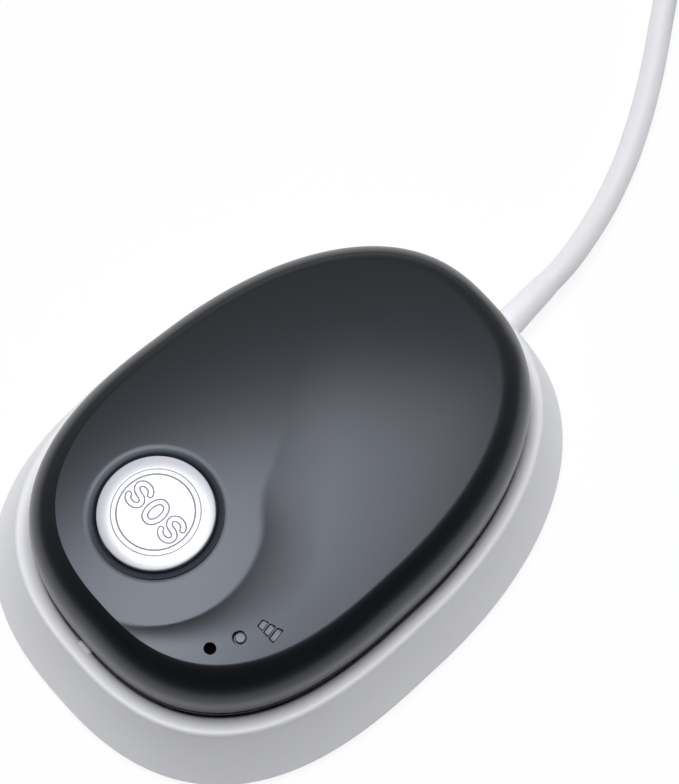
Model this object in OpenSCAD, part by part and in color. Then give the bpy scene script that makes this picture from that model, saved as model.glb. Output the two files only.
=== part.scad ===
// Personal alarm pendant in its charging dock, with the dock's captive lead.
// Millimetres. The origin is on the table under the middle of the dock, +Y runs to the lead,
// +X to the side with the indicator lights, +Z up.

/* [Pendant] */
// Length of the pendant
body_l = 61; // [58:0.5:66]
// Width of the pendant at the middle of its length
body_w = 42.7; // [41:0.1:46]
// How much wider the button end is than the lead end, as a share of the half width
egg_taper = 0.11; // [0.06:0.01:0.14]
// Squareness of the egg outline, where 2 is an ellipse
egg_power = 2.46; // [2.3:0.02:2.7]
// Height from the flat bottom to the widest level
belly_h = 9.8; // [9.4:0.1:11]
// How far the flat bottom is set in from the widest outline
belly_in = 9; // [8:0.5:9.5]
// Height from the flat bottom to the parting line
parting_h = 6.8; // [6.4:0.1:7.2]
// Height from the widest level to the edge of the top face
shoulder_h = 5.9; // [5.4:0.1:7]
// How far the edge of the top face is set in from the widest outline
shoulder_in = 3; // [2.6:0.1:3.6]
// Crown of the top face above its edge
crown_h = 1.4; // [1:0.1:2]
// Wall of both covers
wall = 1.5; // [1.2:0.1:1.7]
// Floor of the bottom cover
floor_t = 1.4; // [1.2:0.1:1.8]
// Height of the gasket between the covers
gasket_t = 0.3; // [0.2:0.05:0.5]

/* [Scooped side] */
// Fall of the scoop at its crest, in mm per mm
crest_slope = 0.2; // [0.12:0.01:0.28]
// Radius of the crest round the button
crest_r = 12.1; // [11.5:0.05:13]
// Width of the slope below the crest, away from the button's end
crest_slope_w = 7; // [5:0.1:8]

/* [Button] */
// Button centre from the pendant's middle, along X
button_x = -3.7; // [-5:0.1:-2.5]
// Button centre from the pendant's middle, along Y
button_y = -16.3; // [-17:0.1:-15.5]
// Diameter of the button cap
button_d = 13.3; // [12:0.1:14]
// Press travel of the button
button_travel = 0.5; // [0.3:0.05:0.6]
// Height of the cap's rim above the top face
button_proud = 0.35; // [0.1:0.05:0.6]
// Width of the seal ring that shows round the cap
seal_w = 0.85; // [0.6:0.05:1.2]

/* [Indicators] */
// Diameter of the microphone hole
mic_d = 1.5; // [1:0.1:1.8]
// Diameter of the round light window
light_d = 1.7; // [1.4:0.1:2]
// Length of the fan of signal bars
bars_l = 2.7; // [2.4:0.1:3.2]

/* [Inside the pendant] */
// Board thickness
board_t = 0.8; // [0.6:0.1:1]
// Gap from the cover's wall to the board's edge
board_gap = 1; // [0.8:0.1:1.4]
// Battery size along X
battery_w = 20; // [16:0.5:21]
// Battery size along Y
battery_l = 26; // [22:0.5:26.5]
// Battery thickness
battery_t = 3.9; // [3:0.1:4]
// Loudspeaker diameter
speaker_d = 12; // [10:0.5:12.5]
// Satellite antenna size along X and Y
antenna_w = 14; // [12:0.5:15]

/* [Dock] */
// Height of the dock's lip above the table
dock_h = 10.9; // [10.4:0.1:11.6]
// How far the foot of the dock stands out from the pendant's outline
dock_flare = 4.8; // [4.2:0.1:6]
// How far the crest of the lip stands out from the pendant's outline
lip_out = 1.5; // [1.2:0.1:2]
// Height of the lip's inner slope
lip_drop = 0.9; // [0.6:0.1:1.2]
// Gap between the pendant and the bowl
bowl_gap = 0.5; // [0.4:0.05:0.7]
// Height of the pads that the pendant stands on
seat_pad_h = 0.4; // [0.35:0.05:0.5]
// Thickness of the bowl's floor
bowl_floor_t = 1.4; // [1.2:0.1:1.6]
// Thickness of the base plate
base_t = 1.2; // [1:0.1:1.4]
// How far the rubber feet stand out below the dock
foot_h = 0.5; // [0.3:0.1:0.8]

/* [Charging contacts] */
// Spacing of the contact pins
pin_pitch = 2.54; // [2.2:0.02:2.7]
// Diameter of a contact pin
pin_d = 1; // [0.8:0.05:1.1]
// Travel of a contact pin
pin_travel = 0.6; // [0.4:0.05:0.65]
// Diameter of the holding magnets
magnet_d = 6; // [5:0.5:7]

/* [Lead] */
// Diameter of the lead
lead_d = 3; // [2.8:0.1:3.2]
// Length of the strain relief outside the dock
boot_l = 7.8; // [7:0.1:9]
// Mean radius of the coil
coil_r = 17; // [16.5:0.1:17.5]
// Spacing of the turns of the coil
coil_pitch = 3.5; // [3.45:0.05:3.6]
// Width of the plug's grip
plug_w = 15.5; // [14:0.1:16]
// Height of the plug's grip
plug_h = 8; // [7:0.1:8.4]
// Length of the plug's grip
plug_l = 22; // [18:0.5:26]

/* [Hidden] */
$fn = 48;

// Points round an egg outline
seg = 60;
// Clearances: loose pieces, running fits, and pieces bonded or pressed in
loose = 0.15;
running = 0.06;
bonded = 0.03;
// Overlap that makes a cut clean
cut = 0.5;

// Levels of the dock, from the table up
base_z = foot_h;
base_top = base_z + base_t;
post_h = 0.5;
dock_board_z = base_top + post_h;
dock_board_top = dock_board_z + board_t;
chip_h = 0.4;
bowl_under = dock_board_top + chip_h + loose;
bowl_z = bowl_under + bowl_floor_t;
seat_z = bowl_z + seat_pad_h;

// Levels of the pendant
widest_z = seat_z + belly_h;
edge_z = widest_z + shoulder_h;
parting_z = seat_z + parting_h;
skirt_z = parting_z + gasket_t;
floor_z = seat_z + floor_t;
belly_power = 0.77;
shoulder_round = 0.92;
spigot_h = 0.5;
spigot_t = 0.8;
spigot_root = 1.6;
gasket_in = 0.3;
gasket_back = 0.05;
board_lift = 0.2;
board_z = skirt_z + spigot_h + board_lift;
board_top = board_z + board_t;

// Pieces under the board
rib_h = 0.8;
battery_z = floor_z + rib_h;
battery_y = 3.5;
rib_x = battery_w * 0.4;
rib_w = 1.2;
speaker_h = 3.2;
speaker_gap = 0.8;
speaker_y = battery_y - battery_l / 2 - speaker_gap - speaker_d / 2;
speaker_seat_w = 1;
speaker_rim = 1.5;
speaker_cone = 0.8;
sound_holes = 6;
sound_hole_d = 1;
motor_d = 7;
motor_h = 2.6;
motor_gap = 0.7;
motor_y = battery_y + battery_l / 2 + motor_gap + motor_d / 2;
motor_seat_in = 1;
sim_size = [12, 9, 1];
sim_side = 0.6;
sim_back = 1;
sim_roof = 0.3;
sim_slot_h = 0.5;

// Pieces on the board
antenna_h = 4;
antenna_y = 15.5;
patch_in = 1.5;
patch_t = 0.1;
module_size = [17, 13.5, 2.4];
module_y = 0.5;
screw_x_lead = antenna_w / 2 + 3;
screw_y_lead = 18.5;
screw_x_button = 14.2;
screw_y_button = -5;
board_screws_at = [
    [screw_x_lead, screw_y_lead], [-screw_x_lead, screw_y_lead],
    [screw_x_button, screw_y_button], [-screw_x_button, screw_y_button]
];
board_screw_d = 1.4;
board_screw_head_d = 2.6;
board_screw_head_h = 0.7;
boss_d = 3.2;
boss_hole_l = 3;
boss_hole_spare = 0.4;

// Indicators, on a row beside the crest
mic_at = [11.7, -21.7];
light_at = [12.9, -18.5];
bars_at = [13.05, -15.7];
bars_turn = 11;
bars_narrow = 0.8;
bars_wide = 1.75;
bars_count = 3;
bar_gap = 0.3;
recess = 0.3;
led_size = [1.6, 0.8, 0.6];
led_gap = 0.3;
bars_foot_gap = 0.5;
bars_foot = 0.6;
mic_size = [3.8, 3, 1.1];
mic_boot_wall = 0.5;
mic_boot_d = mic_d + 2 * mic_boot_wall;
mic_boot_gap = 0.5;

// Button stack, measured down its axis from the top face
button_at = [button_x, button_y];
cap_t = 1.6;
cap_edge = 0.5;
seal_top = 0.25;
seal_spare = 0.2;
seal_under = cap_t + button_travel + seal_spare;
seal_skin = 0.6;
seal_flange = 1.2;
seal_flange_gap = 0.6;
stem_d = 3;
stem_out = 0.7;
stem_end = seal_under + seal_skin + stem_out;
plunger_d = 2.8;
plunger_l = 1.5;
plunger_out = 0.6;
switch_spare = 0.3;
switch_w = 6;
bore_r = button_d / 2 + running + seal_w + bonded;
bore_reach = wall + 4;

// Dock construction: the outer wall is a straight slope from the foot to the lip
dock_wall = 1.6;
lip_edge = 0.4;
wall_foot_z = base_z + 0.6;
wall_lip_z = dock_h - lip_edge;
function wall_out(z) = mix(dock_flare, lip_out + lip_edge, (z - wall_foot_z) / (wall_lip_z - wall_foot_z));
foot_edge = 0.5;
lip_solid = 4;
cavity_top = dock_h - lip_solid;
cavity_in = 1.2;
seat_pad_d = 4;
seat_pads_at = [[8, 13.5], [-8, 13.5], [8, -13.5], [-8, -13.5]];
dock_screws_at = [[8.5, 17.5], [-8.5, 17.5], [8.5, -17.5], [-8.5, -17.5]];
dock_boss_d = 4;
dock_screw_d = 1.5;
dock_head_d = 3;
dock_head_h = 0.6;
dock_screw_l = 2.8;
dock_screw_spare = 0.3;
dock_head_sink = 0.1;
feet_at = [[15, 21], [-15, 21], [15, -21], [-15, -21]];
foot_d = 7;
foot_sink = 0.5;
magnet_t = 1;
magnet_y = 7;
keeper_t = 1.2;
keeper_sink = 0.6;
dock_board_w = 12;
dock_board_l = 38;
dock_board_y = 4;
post_d = 2.4;
post_in = [1.5, 2];
posts_at = [
    for (x = [-1, 1], y = [-1, 1])
        [x * (dock_board_w / 2 - post_in[0]), dock_board_y + y * (dock_board_l / 2 - post_in[1])]
];
chip_size = [5, 4, chip_h];
rib_out = 0.42;
rib_span = 2;
rib_back = lip_out * 0.6;
rib_below = 2;
rib_top = dock_h - 0.4;

// Contacts
pin_xs = [for (i = [0:3]) (i - 1.5) * pin_pitch];
contact_recess = 0.3;
pad_d = 1.8;
pad_t = floor_t;
pin_tip_z = seat_z + contact_recess;
block_end = 1.5;
block_size = [3 * pin_pitch + 2 * block_end, 4];
block_drop = 0.2;
block_top = seat_z - block_drop;
barrel_wall = 0.25;
barrel_floor = 0.2;
pin_spare = 0.1;
pin_l = pin_tip_z - dock_board_top - barrel_floor - pin_travel - pin_spare;
tip_d = pin_d * 0.6;
tip_h = 0.25;

// Strain relief
boot_x = 0.6;
boot_z = 3.2;
boot_yaw = 6;
boot_r = 1.85;
boot_sink = 0.75;
boot_tip_wall = 0.13;
boot_tip_r = lead_d / 2 + boot_tip_wall;
boot_neck_r = 1.35;
boot_flange_r = 2;
boot_flange_t = 1;
boot_root_l = 1;
boot_neck_spare = 0.9;
boot_neck_l = dock_wall + boot_neck_spare;
boot_root_y = body_l / 2 + wall_out(boot_z) - boot_sink;
boot_dir = [-sin(boot_yaw), cos(boot_yaw), 0];
wire_d = 0.5;
wire_pitch = 0.9;
wires_over = 3;
notch_l = 8;
notch_side = 0.5;

// Free stretches of the lead, points on the centreline from the strain relief to the coil
lead_route = [
    [-1, 46.6, 2.94], [-1.8, 49.4, 2.5], [-2.72, 52.2, 2.04], [-3.76, 55, 1.7], [-4.95, 57.8, 1.6],
    [-6.38, 60.8, 1.6], [-8.04, 63.8, 1.6], [-9.84, 66.8, 1.6], [-12.1, 70.2, 1.6], [-14.7, 73.8, 1.6],
    [-17.45, 77.4, 1.6], [-20.15, 81, 1.6], [-22.9, 84.8, 1.7], [-25.6, 88.6, 1.85]
];
// and from the coil to the plug
tail_route = [
    [0.3, 124.4, 12.2], [4.2, 122, 11.3], [8, 119, 9.9], [11.2, 115.4, 8.2], [13.7, 111.3, 6.4],
    [15.3, 107.2, 4.7]
];
plug_at = [16, 98, plug_h / 2];
// Straight stretch at each end of a free stretch
lead_straight = lead_d * 0.8;

// Coil: steps of 15 degrees in four layers
coil_at = [-14.5, 108.3];
coil_start = 217;
coil_layers = 4;
coil_steps = 202;
coil_step = 15;
layer_steps = coil_steps / coil_layers;
coil_build = layer_steps * coil_step / 360 * coil_pitch;
tie_t = 0.5;
tie_w = 5;
tie_gap = 0.3;
coil_lift = 0.1;
coil_z = lead_d / 2 + tie_t + coil_lift;

// Plug, to the usual sizes of a USB type A plug
shell_w = 12;
shell_h = 4.5;
shell_l = 11.8;
shell_t = 0.3;
shell_sunk = 2;
tongue_back = 0.4;
tongue_w = 11.2;
tongue_t = 1.8;
contact_w = 1;
contact_t = 0.15;
contact_pitch = 2.3;
contact_back = 1.4;
plug_round = 2;
plug_neck_l = 3;
plug_neck_wall = 0.3;
plug_neck_in = 1;

// Small helpers
function signed_pow(v, p) = sign(v) * pow(abs(v), p);
function clamp01(v) = max(0, min(1, v));
function smooth(v) = let (t = clamp01(v)) t * t * (3 - 2 * t);
function unit(v) = v / norm(v);
function mix(a, b, t) = a * (1 - t) + b * t;

// Point of the egg outline set in by a distance, at angle a
function egg(a, inset) = [
    (body_w / 2 - inset) * signed_pow(cos(a), 2 / egg_power) * (1 - egg_taper * sin(a)),
    (body_l / 2 - inset) * signed_pow(sin(a), 2 / egg_power)
];
function angles() = [for (i = [0:seg - 1]) 360 * i / seg];
function ring(inset, z) = [for (a = angles()) let (p = egg(a, inset)) [p[0], p[1], z]];
function outline(inset) = [for (a = angles()) egg(a, inset)];

// Inset of the belly at height z, a squared quarter curve from the flat bottom to the widest level
function belly_inset(z) =
    let (c = pow(clamp01((widest_z - z) / belly_h), 1 / belly_power))
    belly_in * (1 - pow(1 - c * c, belly_power / 2));
// Inset of the shoulder at a share u of the way from the widest level to the top face
function shoulder_inset(u) =
    shoulder_in * (1 - sqrt(1 - pow(shoulder_round * u, 2))) / (1 - sqrt(1 - pow(shoulder_round, 2)));

// Distance outside the crest: an arc round the button that runs on as a straight line
crest_off = [0.1, -0.7];
crest_at = button_at + crest_off;
crest_leave = 58.2;
crest_head = 123;
crest_end = crest_at + crest_r * [cos(crest_leave), sin(crest_leave)];
crest_blend = 4.5;
function along_crest(p) = (p - crest_end) * [cos(crest_head), sin(crest_head)];
function crest_distance(p) =
    let (k = smooth(along_crest(p) / (2 * crest_blend) + 0.5))
    mix(norm(p - crest_at) - crest_r, (p - crest_end) * [sin(crest_head), -cos(crest_head)], k);
// The slope is narrower towards the button's end, and the scoop fades out along the line
slope_end_w = 2.2;
slope_grow = [-29, -7];
scoop_fade = [-13, 24];
function slope_w(p) =
    mix(slope_end_w, crest_slope_w, smooth((p[1] - slope_grow[0]) / (slope_grow[1] - slope_grow[0])));
function scoop(p) =
    let (f = clamp01(crest_distance(p) / slope_w(p)))
    let (fade = 1 - smooth((along_crest(p) - scoop_fade[0]) / (scoop_fade[1] - scoop_fade[0])))
    crest_slope / 2 * slope_w(p) * (1 - pow(1 - f, 2)) * fade;
// Height of the top face: a dome less the scoop
face_half = [body_w / 2 - shoulder_in, body_l / 2 - shoulder_in];
function top_z(p) =
    let (x = p[0] / face_half[0], y = p[1] / face_half[1])
    edge_z + crown_h * (1 - x * x - y * y) - scoop(p);
button_z = top_z(button_at);
// The button's axis is square to the dome at its centre
button_slope = -2 * crown_h * [button_x / pow(face_half[0], 2), button_y / pow(face_half[1], 2)];
button_axis = unit([-button_slope[0], -button_slope[1], 1]);
echo(button_z = button_z, button_axis = button_axis, seat_z = seat_z);

// Solid through rings of points: capped at both ends, or closed on itself
module loft(rings, closed = false) {
    n = len(rings);
    m = len(rings[0]);
    sides = [
        for (i = [0:closed ? n - 1 : n - 2], j = [0:m - 1])
            let (a = i * m, b = ((i + 1) % n) * m, k = (j + 1) % m)
            each [[a + j, b + j, b + k], [a + j, b + k, a + k]]
    ];
    caps = closed ? [] : [[for (j = [0:m - 1]) j], [for (j = [m - 1:-1:0]) (n - 1) * m + j]];
    polyhedron([for (r = rings) each r], concat(sides, caps), convexity = 6);
}

// Tube of a diameter along points, with rings square to the path
function path_dir(pts, i) = unit(pts[min(i + 1, len(pts) - 1)] - pts[max(i - 1, 0)]);
function tube_ring(p, dir, d, sides) =
    let (across = unit(cross([0, 0, 1], dir)), up = cross(dir, across))
    [for (j = [0:sides - 1]) p + d / 2 * (cos(360 * j / sides) * across + sin(360 * j / sides) * up)];
module tube(pts, d, sides) {
    loft([for (i = [0:len(pts) - 1]) tube_ring(pts[i], path_dir(pts, i), d, sides)]);
}

module plate(inset, z, t) {
    translate([0, 0, z])
        linear_extrude(t)
            polygon(outline(inset));
}

module on_points(points, z) {
    for (p = points)
        translate([p[0], p[1], z])
            children();
}

// Frame of the button: origin on the top face at its centre, +Z out along its axis
module on_button() {
    translate([button_x, button_y, button_z])
        rotate([0, acos(button_axis[2]), atan2(button_axis[1], button_axis[0])])
            children();
}

module box(size, at) {
    translate([at[0] - size[0] / 2, at[1] - size[1] / 2, at[2]])
        cube(size);
}

// Pendant covers

top_side_us = [0.25, 0.5, 0.7, 0.85, 0.95, 1];
top_face_vs = [0.03, 0.1, 0.2, 0.32, 0.44, 0.56, 0.67, 0.77, 0.86, 0.94, 1];
hole_seed = 0.8;
hole_seed_r = bore_r - hole_seed;

// Point of the top face a share v of the way from its edge to the button hole
function face_point(a, v, inset) =
    mix(egg(a, inset), button_at + hole_seed_r * [cos(a), sin(a)], v);
function shoulder_ring(u, t) = [
    for (a = angles())
        let (top = top_z(egg(a, shoulder_in)) - t)
        let (p = egg(a, shoulder_inset(u) + t))
        [p[0], p[1], mix(widest_z, top, u)]
];
function face_ring(v, t) = [
    for (a = angles())
        let (p = face_point(a, v, shoulder_in + t))
        [p[0], p[1], top_z(p) - t]
];

module cover_skin() {
    outer = concat(
        [ring(belly_inset(skirt_z), skirt_z), ring(0, widest_z)],
        [for (u = top_side_us) shoulder_ring(u, 0)],
        [for (v = top_face_vs) face_ring(v, 0)]
    );
    inner = concat(
        [for (i = [len(top_face_vs) - 1:-1:0]) face_ring(top_face_vs[i], wall)],
        [for (i = [len(top_side_us) - 1:-1:1]) shoulder_ring(top_side_us[i], wall)],
        [ring(wall, widest_z), ring(belly_inset(skirt_z) + wall, skirt_z)]
    );
    loft(concat(outer, inner), closed = true);
}

// Signal bars: bars across a fan that widens away from the light window
function bar_edge(i) = bars_l * i / bars_count;
function bar_width(x) = mix(bars_narrow, bars_wide, x / bars_l);
module bars_shape(grow) {
    translate(bars_at)
        rotate(bars_turn)
            for (i = [0:bars_count - 1])
                let (x0 = bar_edge(i) + bar_gap / 2, x1 = bar_edge(i + 1) - bar_gap / 2)
                polygon([
                    [x0 - grow, -bar_width(x0) / 2 - grow], [x1 + grow, -bar_width(x1) / 2 - grow],
                    [x1 + grow, bar_width(x1) / 2 + grow], [x0 - grow, bar_width(x0) / 2 + grow]
                ]);
}

module top_cover() {
    color("#34373b")
        difference() {
            union() {
                cover_skin();
                for (p = board_screws_at)
                    translate([p[0], p[1], board_top])
                        cylinder(d = boss_d, h = top_z(p) - wall / 2 - board_top);
            }
            on_button()
                translate([0, 0, -bore_reach])
                    cylinder(r = bore_r, h = 2 * bore_reach);
            on_button()
                translate([0, 0, -seal_w / 2])
                    cylinder(r1 = bore_r, r2 = bore_r + seal_w, h = seal_w);
            translate([mic_at[0], mic_at[1], board_top])
                cylinder(d = mic_d, h = crown_h + edge_z - board_top);
            translate([light_at[0], light_at[1], board_top])
                cylinder(d = light_d + 2 * running, h = crown_h + edge_z - board_top);
            translate([0, 0, board_top])
                linear_extrude(crown_h + edge_z - board_top)
                    bars_shape(running);
            on_points(board_screws_at, board_top - cut)
                cylinder(d = board_screw_d + 2 * bonded, h = boss_hole_l + cut);
        }
}

belly_outer_zs = [0, 0.04, 0.12, 0.25, 0.42, 0.6, 0.8, 1];
function inner_belly_ring(c) =
    let (s = pow(1 - pow(c, 2 / belly_power), belly_power / 2))
    ring(wall + belly_in * (1 - s), widest_z - (belly_h - floor_t) * c);

module bottom_cover() {
    spigot_in = belly_inset(skirt_z) + wall + loose;
    spigot_l = spigot_root + gasket_t + spigot_h;
    color("#2b2d30")
        difference() {
            union() {
                difference() {
                    loft([
                        for (k = belly_outer_zs)
                            let (z = seat_z + parting_h * k)
                            ring(belly_inset(z), z)
                    ]);
                    loft([for (c = [1, 0.98, 0.93, 0.83, 0.7, 0.55, 0.4, 0.25]) inner_belly_ring(c)]);
                }
                difference() {
                    plate(spigot_in, parting_z - spigot_root, spigot_l);
                    plate(spigot_in + spigot_t, parting_z - spigot_root - cut, spigot_l + 2 * cut);
                }
                for (x = [-rib_x, rib_x])
                    box([rib_w, battery_l * 0.8, rib_h + cut], [x, battery_y, floor_z - cut]);
                translate([0, speaker_y, floor_z - cut])
                    difference() {
                        cylinder(d = speaker_d, h = rib_h + cut);
                        translate([0, 0, cut / 2])
                            cylinder(d = speaker_d - 2 * speaker_seat_w, h = rib_h + cut);
                    }
                translate([0, motor_y, floor_z - cut / 2])
                    cylinder(d = motor_d - 2 * motor_seat_in, h = rib_h + cut / 2);
            }
            for (x = pin_xs)
                translate([x, 0, seat_z - cut])
                    cylinder(d = pad_d + 2 * bonded, h = floor_t + 2 * cut);
            for (y = [-magnet_y, magnet_y])
                translate([0, y, floor_z - keeper_sink])
                    cylinder(d = magnet_d + 2 * bonded, h = keeper_t + cut);
            translate([0, speaker_y, seat_z - cut])
                for (i = [0:sound_holes - 1])
                    rotate(360 * i / sound_holes)
                        translate([speaker_d / 4, 0, 0])
                            cylinder(d = sound_hole_d, h = floor_t + 2 * cut);
        }
}

module cover_gasket() {
    color("#1d1e20")
        difference() {
            plate(belly_inset(parting_z) + gasket_in, parting_z, gasket_t);
            plate(belly_inset(parting_z) + wall - gasket_back, parting_z - cut, gasket_t + 2 * cut);
        }
}

// Inside the pendant

module main_board() {
    color("#1f6b43")
        difference() {
            plate(wall + board_gap, board_z, board_t);
            on_points(board_screws_at, board_z - cut)
                cylinder(d = board_screw_d + 2 * loose, h = board_t + 2 * cut);
        }
}

module board_screws() {
    color("#b9bcc0")
        on_points(board_screws_at, board_z) {
            translate([0, 0, -board_screw_head_h])
                cylinder(d = board_screw_head_d, h = board_screw_head_h);
            cylinder(d = board_screw_d, h = board_t + boss_hole_l - boss_hole_spare);
        }
}

module battery() {
    color("#c9ccd0")
        box([battery_w, battery_l, battery_t], [0, battery_y, battery_z]);
}

module speaker() {
    color("#3d3f42")
        translate([0, speaker_y, battery_z])
            difference() {
                cylinder(d = speaker_d, h = speaker_h);
                translate([0, 0, -cut])
                    cylinder(d = speaker_d - 2 * speaker_rim, h = cut + speaker_cone);
            }
}

module vibration_motor() {
    color("#a9adb2")
        translate([0, motor_y, battery_z])
            cylinder(d = motor_d, h = motor_h);
}

module gps_antenna() {
    patch_w = antenna_w - 2 * patch_in;
    color("#d8cfae")
        union() {
            box([antenna_w, antenna_w, antenna_h], [0, antenna_y, board_top]);
            box([patch_w, patch_w, antenna_h + patch_t], [0, antenna_y, board_top]);
        }
}

module cellular_module() {
    color("#b4b8bc")
        box(module_size, [0, module_y, board_top]);
}

module sim_holder() {
    color("#8f9499")
        difference() {
            box(sim_size, [0, speaker_y, board_z - sim_size[2]]);
            box([sim_size[0] - 2 * sim_side, sim_size[1], sim_slot_h],
                [0, speaker_y - sim_back, board_z - sim_roof - sim_slot_h]);
        }
}

// Top of the switch on the button's axis
switch_at = [button_x, button_y, button_z] - (stem_end + plunger_out) * button_axis;
switch_top = switch_at[2];

module tact_switch() {
    color("#1b1c1e")
        difference() {
            box([switch_w, switch_w, switch_top - board_top], [switch_at[0], switch_at[1], board_top]);
            on_button()
                translate([0, 0, -stem_end - plunger_l - button_travel - switch_spare])
                    cylinder(d = plunger_d + 2 * running, h = plunger_l + stem_end);
        }
}

module microphone() {
    color("#c3a45c")
        box(mic_size, [mic_at[0], mic_at[1], board_top]);
}

// The tube that leads sound from the hole to the microphone stops just under the cover
mic_boot_top = min([
    for (a = [0:45:315])
        top_z(mic_at + mic_boot_d / 2 * [cos(a), sin(a)])
]) - wall - mic_boot_gap;

module mic_boot() {
    boot_z0 = board_top + mic_size[2];
    color("#2a2b2d")
        translate([mic_at[0], mic_at[1], boot_z0])
            difference() {
                cylinder(d = mic_boot_d, h = mic_boot_top - boot_z0);
                translate([0, 0, -cut])
                    cylinder(d = mic_d, h = mic_boot_top - boot_z0 + 2 * cut);
            }
}

bars_mid = bars_at + bars_l * 0.55 * [cos(bars_turn), sin(bars_turn)];

module status_leds() {
    color("#f3f1e6")
        for (p = [light_at, bars_mid])
            box(led_size, [p[0], p[1], board_top]);
}

module light_pipe() {
    z0 = board_top + led_size[2] + led_gap;
    color("#dfe4ea")
        translate([light_at[0], light_at[1], z0])
            cylinder(d = light_d, h = top_z(light_at) - recess - z0);
}

bars_under = top_z(bars_mid) - wall - bars_foot_gap;

module signal_window() {
    z0 = board_top + led_size[2] + led_gap;
    color("#dfe4ea")
        union() {
            translate([0, 0, bars_under - bars_foot])
                linear_extrude(top_z(bars_mid) - recess - bars_under + bars_foot)
                    bars_shape(0);
            translate([bars_at[0], bars_at[1], z0])
                rotate(bars_turn)
                    translate([0, -bars_narrow, 0])
                        cube([bars_l, 2 * bars_narrow, bars_under - z0]);
        }
}

module charge_contacts() {
    color("#d6b35a")
        for (x = pin_xs)
            translate([x, 0, pin_tip_z])
                cylinder(d = pad_d, h = pad_t);
}

module keeper_discs() {
    color("#9da1a6")
        for (y = [-magnet_y, magnet_y])
            translate([0, y, floor_z - keeper_sink])
                cylinder(d = magnet_d, h = keeper_t);
}

// Button

module button_seal() {
    inner_r = button_d / 2 + running;
    outer_r = bore_r - bonded;
    flange_z = -wall - seal_flange_gap;
    skin_z = -seal_under - seal_skin;
    color("#3a4149")
        on_button()
            rotate_extrude()
                polygon([
                    [inner_r, -seal_top], [inner_r, -seal_under], [stem_d / 2 + running, -seal_under],
                    [stem_d / 2 + running, skin_z], [outer_r + seal_flange, skin_z],
                    [outer_r + seal_flange, flange_z], [outer_r, flange_z], [outer_r, -seal_top]
                ]);
}

module sos_button() {
    r = button_d / 2;
    color("#d9dade")
        on_button()
            rotate_extrude()
                polygon([
                    [0, button_proud], [r - cap_edge, button_proud],
                    [r - cap_edge * 0.3, button_proud - cap_edge * 0.3], [r, button_proud - cap_edge],
                    [r, -cap_t], [stem_d / 2, -cap_t], [stem_d / 2, -stem_end], [0, -stem_end]
                ]);
}

module switch_plunger() {
    color("#e7e3d8")
        on_button()
            translate([0, 0, -stem_end - plunger_l])
                cylinder(d = plunger_d, h = plunger_l);
}

// Dock

lip_z = dock_h - lip_drop;
function bowl_inset(c) = belly_in * (1 - pow(1 - pow(c, 2 / belly_power), belly_power / 2)) - bowl_gap;
function bowl_height(c) = widest_z - (widest_z - bowl_z) * c;
lip_c = (widest_z - lip_z) / (widest_z - bowl_z);
lip_in = -bowl_inset(lip_c);
bowl_cs = [1, 0.985, 0.94, 0.86, 0.76, 0.64, lip_c];

module dock_outer() {
    loft([
        ring(-dock_flare + foot_edge, base_z),
        ring(-dock_flare + foot_edge * 0.16, base_z + foot_edge / 2),
        ring(-dock_flare, wall_foot_z),
        ring(-lip_out - lip_edge, wall_lip_z),
        ring(-lip_out - lip_edge * 0.65, dock_h - lip_edge * 0.3),
        ring(-lip_out - lip_edge * 0.15, dock_h)
    ]);
}

module dock_bowl() {
    lip_steps = [30, 60, 90];
    loft(concat(
        [for (c = bowl_cs) ring(bowl_inset(c), bowl_height(c))],
        [for (s = lip_steps) ring(-mix(lip_in, lip_out, 1 - cos(s)), mix(lip_z, dock_h, sin(s)))],
        [ring(-lip_out, dock_h + cut)]
    ));
}

module dock_cavity() {
    under = [for (c = [0.9, 0.96]) ring(bowl_inset(c) + cavity_in, bowl_height(c) - dock_wall)];
    loft(concat(
        [ring(-dock_flare + dock_wall, base_z - cut), ring(-dock_flare + dock_wall, wall_foot_z)],
        [ring(-wall_out(cavity_top) + dock_wall, cavity_top), ring(cavity_in, cavity_top)],
        under,
        [ring(belly_in + bowl_gap, bowl_under)]
    ));
}

// Frame of the strain relief: origin where the boot meets the wall, +Z out along the lead
module on_boot() {
    translate([boot_x, boot_root_y, boot_z])
        rotate([-90, 0, boot_yaw])
            children();
}

module dock_shell() {
    window = block_size + 2 * [loose, loose];
    color("#e9eaee")
        difference() {
            union() {
                difference() {
                    dock_outer();
                    dock_bowl();
                    dock_cavity();
                }
                on_points(dock_screws_at, base_top)
                    cylinder(d = dock_boss_d, h = bowl_z - base_top - cut);
                on_points(seat_pads_at, bowl_z - cut)
                    cylinder(d = seat_pad_d, h = seat_pad_h + cut);
                translate([-rib_span / 2, -body_l / 2 - rib_back, lip_z - rib_below])
                    cube([rib_span, rib_back + rib_out, rib_top - lip_z + rib_below]);
            }
            box([window[0], window[1], bowl_floor_t + 2 * cut], [0, 0, bowl_under - cut]);
            for (y = [-magnet_y, magnet_y])
                translate([0, y, bowl_under - cut])
                    cylinder(d = magnet_d + 2 * bonded, h = magnet_t + cut);
            on_points(dock_screws_at, base_top - cut)
                cylinder(d = dock_screw_d + 2 * bonded, h = dock_screw_l + cut);
            on_boot() {
                translate([0, 0, -boot_neck_l - boot_flange_t])
                    cylinder(r = boot_neck_r + loose, h = 2 * boot_neck_l);
                cylinder(r = boot_r + loose, h = boot_l);
            }
        }
}

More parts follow.
